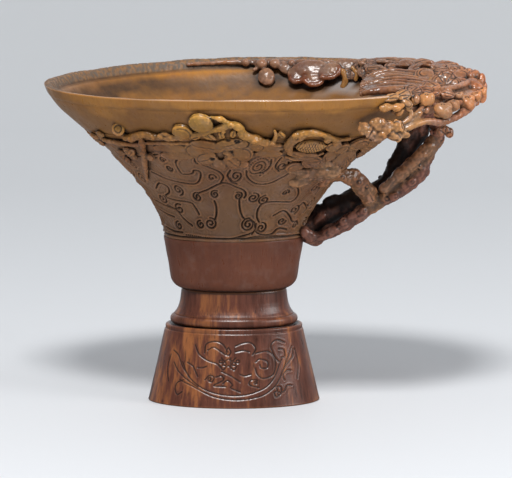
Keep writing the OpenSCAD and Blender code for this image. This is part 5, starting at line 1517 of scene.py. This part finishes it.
class CUP_OT_relief(bpy.types.Operator):
    """Makes the high relief of branches, blossoms, leaves and the seed pod on both sides"""
    bl_idname = "cup.relief"
    bl_label = "Make Relief"

    def execute(self, context):
        self.side("front_relief", FRONT_WAYS, FRONT_LEDGES, FRONT_HEADS, FRONT_PETALS, FRONT_KNOTS, 71,
                  ["front_branch", "front_blossoms", "front_leaves"])
        self.side("back_relief", BACK_WAYS, BACK_LEDGES, BACK_HEADS, [], BACK_KNOTS, 81,
                  ["back_branch", "back_blossoms"])
        self.pod()
        return {"FINISHED"}

    @staticmethod
    def side(name, tables, ledges, heads, petals, knots, seed, nodes):
        carving = settings("carving")
        bm, cuts, deep = bmesh.new(), [], []
        lines = [ways(on_wall(t), 7) for t in tables]
        rng = np.random.default_rng(seed)
        for line in lines:
            line[:, 3] *= 0.94 + 0.09 * np.sin(np.arange(len(line)) * 0.7 + rng.uniform(0, 6))
        add_ways(bm, lines, 3)
        add_ways(bm, [ways(on_wall(t), 6) for t in ledges], 2)
        for t, h, spin, size, leaves, opening, rise, boss, veins in heads:
            point, _, _, n = seat(t, h)
            add_head(bm, cuts, point - n * 0.2, n, spin, size, leaves, opening, rise, boss, 0.16, veins)
        for t, h, lift, spin, half, wide, thick, arcs, rays in petals:
            point, x, y, n = seat(t, h, spin)
            add_plate(bm, cuts, point + n * lift, x * half, y * wide, n * thick, arcs, rays)
        for t, h, standing, girth in knots:
            point, x, y, n = seat(t, h)
            centre, size = point + n * standing * TWIG, girth * TWIG * 1.1
            add_blob(bm, centre, x * size, y * size, n * size)
            cuts.append(circle(centre + n * size, x * size * 0.4, y * size * 0.4, 10))
        if name == "front_relief":
            # the sawn end of the branch, and the deep eye between the petals
            point = seat(-137, 0.78)[0]
            x, y, n = facing((-0.35, -1, 0.05), 0)
            stump = ((-2.2, 1.6), (0, 2.2), (1.2, 2.45), (1.6, 2.3), (1.8, 1.9))
            add_ways(bm, [np.array([[*(point + n * out), girth] for out, girth in stump])], 5)
            cuts.append(circle(point + n * 1.8, x * 1.25, y * 1.25, 16))
            for t, h, wide in ((-101.4, 0.622, 0.8), (-99.8, 0.625, 0.6), (-104.2, 0.60, 0.35),
                               (-96, 0.735, 0.5),
                               (-99, 0.745, 0.4)):
                point, x, y, n = seat(t, h, 20)
                deep.append(circle(point + n * 1.1, x * wide * 1.3, y * wide, 9))
                deep.append([point + n * 0.7 + x * wide * s for s in (-1, 0, 1)])
        mesh = fuse(name, bm, carving.voxel - 0.06)
        carve(mesh, cuts, 0.26, 0.2, carving.chisel * 0.5, seed, 0.45, 0.12)
        if deep:
            carve(mesh, deep, 0.5, 0.6)
        make_piece(name, mesh, "horn relief", "cup", "horn_relief", nodes)

    @staticmethod
    def pod():
        point, x, y, n = seat(-70, 0.69, -4)
        half, wide, thick, pitch = 5.2, 3.0, 2.1, 0.95
        bm = bmesh.new()
        centre = point + n * 0.6
        add_blob(bm, centre, x * half, y * wide, n * thick, 5)
        add_ways(bm, [ways([[*(centre + x * s), r] for s, r in ((4.4, 0.8), (5.4, 0.5), (6.2, 0.3))], 3)], 2)
        mesh = fuse("pod", bm, 0.26, 1)
        s = np.linspace(-0.85, 0.85, 9)[:, None]
        cuts = []
        for k in range(-5, 6):
            high = np.sqrt(np.maximum(0.05, 1 - s * s - (k * pitch / half) ** 2 * 0.9))
            for lean in (-1, 1):
                cuts.append(centre + x * (k * pitch + lean * s * 1.5) + y * wide * s + n * thick * high)
        carve(mesh, cuts, 0.2, 0.24, 0.02, 91, 0.7)
        make_piece("pod", mesh, "horn pod", "cup", "horn_relief", ["seed_pod"])


# ---------------------------------------------------------------- Rim

RIM_WAYS = [
    [(112, 1.0, 0.985, 0.35), (104, 1.05, 0.985, 0.5), (97, 1.1, 0.985, 0.6), (91, 1.1, 0.98, 0.9),
     (88, 1.1, 0.97, 1.3),
     (84, 1.2, 0.965, 1.45), (79, 1.25, 0.96, 1.5), (74, 1.2, 0.965, 1.3), (69, 1.25, 0.96, 1.2),
     (64, 1.2, 0.97, 1.2),
     (58, 1.1, 0.985, 1.3), (52, 1.0, 0.995, 1.3), (44, 0.7, 1.01, 1.2), (36, 0.3, 1.02, 1.1),
     (28, -0.6, 1.02, 1.0)],
    [(92.5, 1.2, 0.98, 0.6), (92, 1.6, 0.955, 0.55), (93, 1.8, 0.94, 0.4)],
    [(58, 1.1, 0.96, 0.6), (57, 1.5, 0.93, 0.6), (56, 1.7, 0.90, 0.45)],
    [(50, 0.9, 0.98, 0.8), (46, 1.6, 0.95, 0.8), (40, 1.9, 0.93, 0.7)],
    [(79, 1.2, 0.965, 0.9), (76, 1.4, 0.945, 0.9), (73, 1.6, 0.93, 0.8)],
    [(73, 1.3, 0.99, 0.7), (68, 1.35, 0.975, 0.8), (63, 1.5, 0.955, 0.7)],
]
# Thickness of the fungus's three lobes, which have a rolled lower edge
LOBE = 1.3
# The hanging bud, the lobes, their inner rings and the flat leaf behind them:
# [x, y, z, half length, half width, spin, thickness]
FUNGUS = [
    (11.1, 44.6, 104.6, 3.2, 3.2, 0, 2.0), (21.6, 43.6, 105.6, 3.3, 3.6, 20, LOBE),
    (27.5, 41.6, 104.4, 3.8, 3.0, 0, LOBE),
    (33.0, 41.6, 107.0, 4.2, 3.2, 25, LOBE), (27.0, 43.6, 107.4, 7.6, 3.4, 0, 1.7),
    (25.0, 46.5, 108.3, 9.0, 2.4, 0, 1.2),
    (17.5, 46.5, 107.6, 3.6, 2.2, -30, 1.2), (38.6, 43.6, 109.0, 4.4, 2.6, 0, 1.1)]
# Heads: [x, y, z, normal, spin, size, petals, opening]
RIM_HEADS = [
    (40.5, 42.0, 107.4, (-0.3, -0.8, 0.5), -60, 4.6, 3, 200),
    (47.5, 37.0, 107.6, (-0.4, -0.7, 0.6), -80, 5.0, 4, 220),
    (53.0, 31.0, 107.4, (-0.5, -0.6, 0.6), -100, 5.0, 4, 220),
    (56.5, 23.0, 107.4, (-0.6, -0.4, 0.7), -120, 5.0, 4, 220),
    (45.5, 38.0, 109.4, (0, -0.3, 1), 30, 4.2, 3, 240), (52.5, 34.0, 110.4, (0.1, 0.1, 1), 60, 4.4, 3, 240)]


class CUP_OT_rim_relief(bpy.types.Operator):
    """Makes the branch, the hanging bud and the fungus heads that climb over the back rim into the mouth"""
    bl_idname = "cup.rim_relief"
    bl_label = "Make Rim Relief"

    def execute(self, context):
        carving = settings("carving")
        bm, cuts, rolled = bmesh.new(), [], []
        add_ways(bm, [ways(on_rim(t), 7) for t in RIM_WAYS], 3)
        for x, y, z, r in ((9.4, 47.6, 108.6, 2.0), (14.2, 47.0, 108.8, 1.9), (4.0, 48.6, 109.2, 1.5),
                           (41, 40.5, 106.5, 1.3), (38.7, 41, 101.4, 1.1), (46, 37, 106.5, 1.3),
                           (20, 46.4, 109.2, 1.4)):
            add_ball(bm, (x, y, z), r)
        for x, y, z, a, b, spin, thick in FUNGUS:
            u, v, n = facing((-0.1, -0.85, 0.55), spin)
            c = np.array((x, y, z))
            add_blob(bm, c, u * a, v * b, n * thick)
            cuts.append(circle(c, u * a, v * b, 26))
            if thick == LOBE:
                # the rolled lower edge
                rolled.append(circle(c + n * 0.5, u * a * 0.86, v * b * 0.86, 12, -2.9, -0.2))
                add_ways(bm, [np.column_stack([rolled[-1], np.full(12, 0.85)])], 3)
        for x, y, z, n, spin, size, petals, opening in RIM_HEADS:
            add_head(bm, cuts, (x, y, z), n, spin, size, petals, opening, 1.4, 0, 0.2, 2)
        mesh = fuse("rim_relief", bm, carving.voxel)
        carve(mesh, cuts, 0.28, 0.22, carving.chisel * 0.5, 101, 0.5, 0.16)
        set_value(mesh, "light", clamp((1.9 - nearest(np.vstack(rolled), co_of(mesh))) / 0.9) * 0.85)
        make_piece("rim_relief", mesh, "horn rim", "cup", "horn_rim", ["rim_branch", "rim_fungus"])
        return {"FINISHED"}


# ---------------------------------------------------------------- Patina and painted shade

# How far a surface looks for others that shade it, in millimetres, and the turn from ray to ray
HOLLOW_REACH, RAY_TURN = 5.0, 2.39996


class CUP_OT_patina_and_shade(bpy.types.Operator):
    """Finds the hollows and the high edges of every piece: the finishes darken the hollows with dark wax and
    painted shade, and lighten the edges as rubbed horn with a painted highlight
    """
    bl_idname = "cup.patina"
    bl_label = "Age Surfaces"

    def execute(self, context):
        pieces = [o for o in bpy.data.objects
                  if o.type == "MESH" and "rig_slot" in o and "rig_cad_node" not in o]
        near = bmesh.new()
        for piece in pieces:
            near.from_mesh(piece.data)
        tree = BVHTree.FromBMesh(near)
        near.free()
        rays = 9
        for piece in pieces:
            self.age_and_shade(piece.data, tree, rays)
        return {"FINISHED"}

    @staticmethod
    def age_and_shade(mesh, tree, rays):
        co, no, pairs = co_of(mesh), normals_of(mesh), pairs_of(mesh)
        fine = smoothed(co, pairs, 3)
        broad = smoothed(fine, pairs, 14)
        pit = ((fine - co) * no).sum(1) / 0.05 + ((broad - co) * no).sum(1) / 0.35
        side = unit(np.cross(no, np.array([0.31, 0.57, 0.76])))
        top = np.cross(no, side)
        starts = [Vector(p) for p in (co + no * 0.12) * MM]
        blocked = np.zeros(len(co))
        reach = HOLLOW_REACH * MM
        for k in range(rays):
            spread = math.sqrt((k + 0.5) / rays) * 0.94
            turn = k * RAY_TURN
            across = side * math.cos(turn) + top * math.sin(turn)
            ahead = no * math.sqrt(1 - spread * spread) + across * spread
            hits = [tree.ray_cast(p, Vector(v), reach)[3] for p, v in zip(starts, ahead)]
            blocked += np.array([0.0 if h is None else 1 - h / reach for h in hits])
        blocked = smoothed(blocked / rays, pairs, 3).ravel()
        # hollow: dark wax and painted shade where nearby surfaces block; edge value: rubbed horn and painted
        # highlight
        set_value(mesh, "hollow", clamp(blocked * 1.25 + np.clip(pit, 0, 1.2) * 0.4))
        set_value(mesh, "crest_wear_and_highlight", clamp(smoothed(np.clip(-pit, 0, 3), pairs, 1).ravel() * 0.8 - blocked * 0.8))


# ---------------------------------------------------------------- Stage

# The floor in metres: width, length, level length, how much of that lies before the cup, sweep's radius
FLOOR_WIDE, FLOOR_LONG, FLOOR_LEVEL, FLOOR_BEFORE, SWEEP = 9, 4.2, 1.6, 1.1, 0.55
# The camera: distance in metres, degrees above the level, width of the view at the cup in metres
VIEW_DISTANCE, VIEW_RISE, VIEW_WIDTH = 2.45, 9.2, 0.1741


class CUP_OT_stage(bpy.types.Operator):
    """Makes the floor that sweeps up into a backdrop, the softboxes and the camera"""
    bl_idname = "cup.stage"
    bl_label = "Make Stage"

    def execute(self, context):
        stage = settings("stage")
        self.sweep(stage)
        self.softbox("key", (-0.04, -1.08, 1.56), (0, 0, 0.05), 0.36, 0.36, stage.key)
        self.softbox("fill", (1.45, -0.7, 0.7), (0, 0, 0.06), 0.8, 0.7, stage.fill)
        world = bpy.data.worlds.new("studio")
        context.scene.world = world
        world.use_nodes = True
        nodes, links = world.node_tree.nodes, world.node_tree.links
        nodes["Background"].inputs["Color"].default_value = (0.93, 0.96, 1.0, 1)
        # soft light for matt surfaces, little of it to mirror
        ray, level = nodes.new("ShaderNodeLightPath"), nodes.new("ShaderNodeMapRange")
        level.inputs["To Min"].default_value = stage.sky
        level.inputs["To Max"].default_value = stage.sky * 0.36
        links.new(ray.outputs["Is Glossy Ray"], level.inputs["Value"])
        seen = nodes.new("ShaderNodeMath")
        seen.operation = "MULTIPLY_ADD"
        seen.inputs[1].default_value = 0.2
        links.new(ray.outputs["Is Camera Ray"], seen.inputs[0])
        links.new(level.outputs["Result"], seen.inputs[2])
        links.new(seen.outputs[0], nodes["Background"].inputs["Strength"])
        self.camera(context)
        context.scene.view_settings.view_transform = "Standard"
        return {"FINISHED"}

    @staticmethod
    def sweep(stage):
        bm = bmesh.new()
        bmesh.ops.create_grid(bm, x_segments=2, y_segments=40, size=0.5)
        for v in bm.verts:
            x, s = v.co.x * FLOOR_WIDE, (v.co.y + 0.5) * FLOOR_LONG
            a = min(max(0, (s - FLOOR_LEVEL) / SWEEP), math.pi / 2)
            v.co = (x, min(s, FLOOR_LEVEL) - FLOOR_BEFORE + SWEEP * math.sin(a),
                    SWEEP - SWEEP * math.cos(a) + max(0, s - FLOOR_LEVEL - SWEEP * math.pi / 2))
        bm.faces.ensure_lookup_table()
        bm.normal_update()
        if bm.faces[0].normal.z < 0:
            bmesh.ops.reverse_faces(bm, faces=bm.faces)
        mesh = to_mesh("floor", bm, 1)
        mesh.polygons.foreach_set("use_smooth", [True] * len(mesh.polygons))
        floor = bpy.data.objects.new("floor", mesh)
        bpy.context.scene.collection.objects.link(floor)
        f = Finish("floor")
        # painted shade: the floor darkens as it runs back and up into the backdrop
        shade = f.ramp(f.span(f.axis(1), -0.25, 0.75),
                       [(0.0, tuple(stage.floor)), (1.0, tuple(stage.backdrop))])
        path = f.add("ShaderNodeLightPath")
        mirrored = f.ramp(f.span(f.axis(1), 0.1, 0.8),
                          [(0.0, tinted(stage.floor, 0.18)), (1.0, tinted(stage.floor, 0.8))])
        f.link(f.mix(path.outputs["Is Glossy Ray"], shade, mirrored), f.shader.inputs["Base Color"])
        f.shader.inputs["Roughness"].default_value = 0.6
        f.shader.inputs["Specular IOR Level"].default_value = 0.2
        # seen from behind, the backdrop is clear, so that the cup can be looked at from every side
        clear = f.add("ShaderNodeMixShader")
        back = f.times(f.add("ShaderNodeNewGeometry").outputs["Backfacing"], path.outputs["Is Camera Ray"])
        f.link(back, clear.inputs[0])
        f.link(f.shader.outputs[0], clear.inputs[1])
        f.link(f.add("ShaderNodeBsdfTransparent").outputs[0], clear.inputs[2])
        f.link(clear.outputs[0], f.nodes["Material Output"].inputs["Surface"])
        mesh.materials.append(f.material)

    @staticmethod
    def softbox(name, place, aim, wide, high, power):
        light = bpy.data.lights.new(name, "AREA")
        light.shape = "RECTANGLE"
        light.size, light.size_y = wide, high
        light.energy = power
        lamp = bpy.data.objects.new(name, light)
        lamp.location = place
        lamp.rotation_euler = (Vector(aim) - Vector(place)).to_track_quat("-Z", "Y").to_euler()
        bpy.context.scene.collection.objects.link(lamp)

    @staticmethod
    def camera(context):
        aim = Vector((0.0075, 0, 0.0552))
        rise = math.radians(VIEW_RISE)
        data = bpy.data.cameras.new("camera")
        data.lens = data.sensor_width * VIEW_DISTANCE / VIEW_WIDTH
        data.clip_end = 20
        camera = bpy.data.objects.new("camera", data)
        camera.location = aim + Vector((0, -math.cos(rise), math.sin(rise))) * VIEW_DISTANCE
        camera.rotation_euler = (aim - camera.location).to_track_quat("-Z", "Y").to_euler()
        context.scene.collection.objects.link(camera)
        context.scene.camera = camera


class CUP_PT_sidebar(bpy.types.Panel):
    """Lists the cup's sizes, finishes and operators"""
    bl_label = "Horn Cup"
    bl_idname = "CUP_PT_sidebar"
    bl_space_type = "VIEW_3D"
    bl_region_type = "UI"
    bl_category = "Horn Cup"

    def draw(self, context):
        for kind, group in GROUPS:
            box = self.layout.box()
            for name in group.__annotations__:
                box.prop(settings(kind), name)
        for operator in OPERATORS:
            self.layout.operator(operator.bl_idname)


GROUPS = (("carving", CarvingProperties), ("finish", FinishProperties), ("stage", StageProperties))
OPERATORS = (CUP_OT_bowl, CUP_OT_carved_band, CUP_OT_heel, CUP_OT_stand, CUP_OT_handle, CUP_OT_canopy,
             CUP_OT_relief,
             CUP_OT_rim_relief, CUP_OT_patina_and_shade, CUP_OT_stage)


def register():
    for kind, group in GROUPS:
        bpy.utils.register_class(group)
        setattr(bpy.types.Scene, "cup_" + kind, bpy.props.PointerProperty(type=group))
    for item in (*OPERATORS, CUP_PT_sidebar):
        bpy.utils.register_class(item)


def unregister():
    for item in (CUP_PT_sidebar, *reversed(OPERATORS)):
        bpy.utils.unregister_class(item)
    for kind, group in reversed(GROUPS):
        delattr(bpy.types.Scene, "cup_" + kind)
        bpy.utils.unregister_class(group)


def main():
    register()
    for operator in OPERATORS:
        group, name = operator.bl_idname.split(".")
        getattr(getattr(bpy.ops, group), name)()


if __name__ == "__main__":
    main()
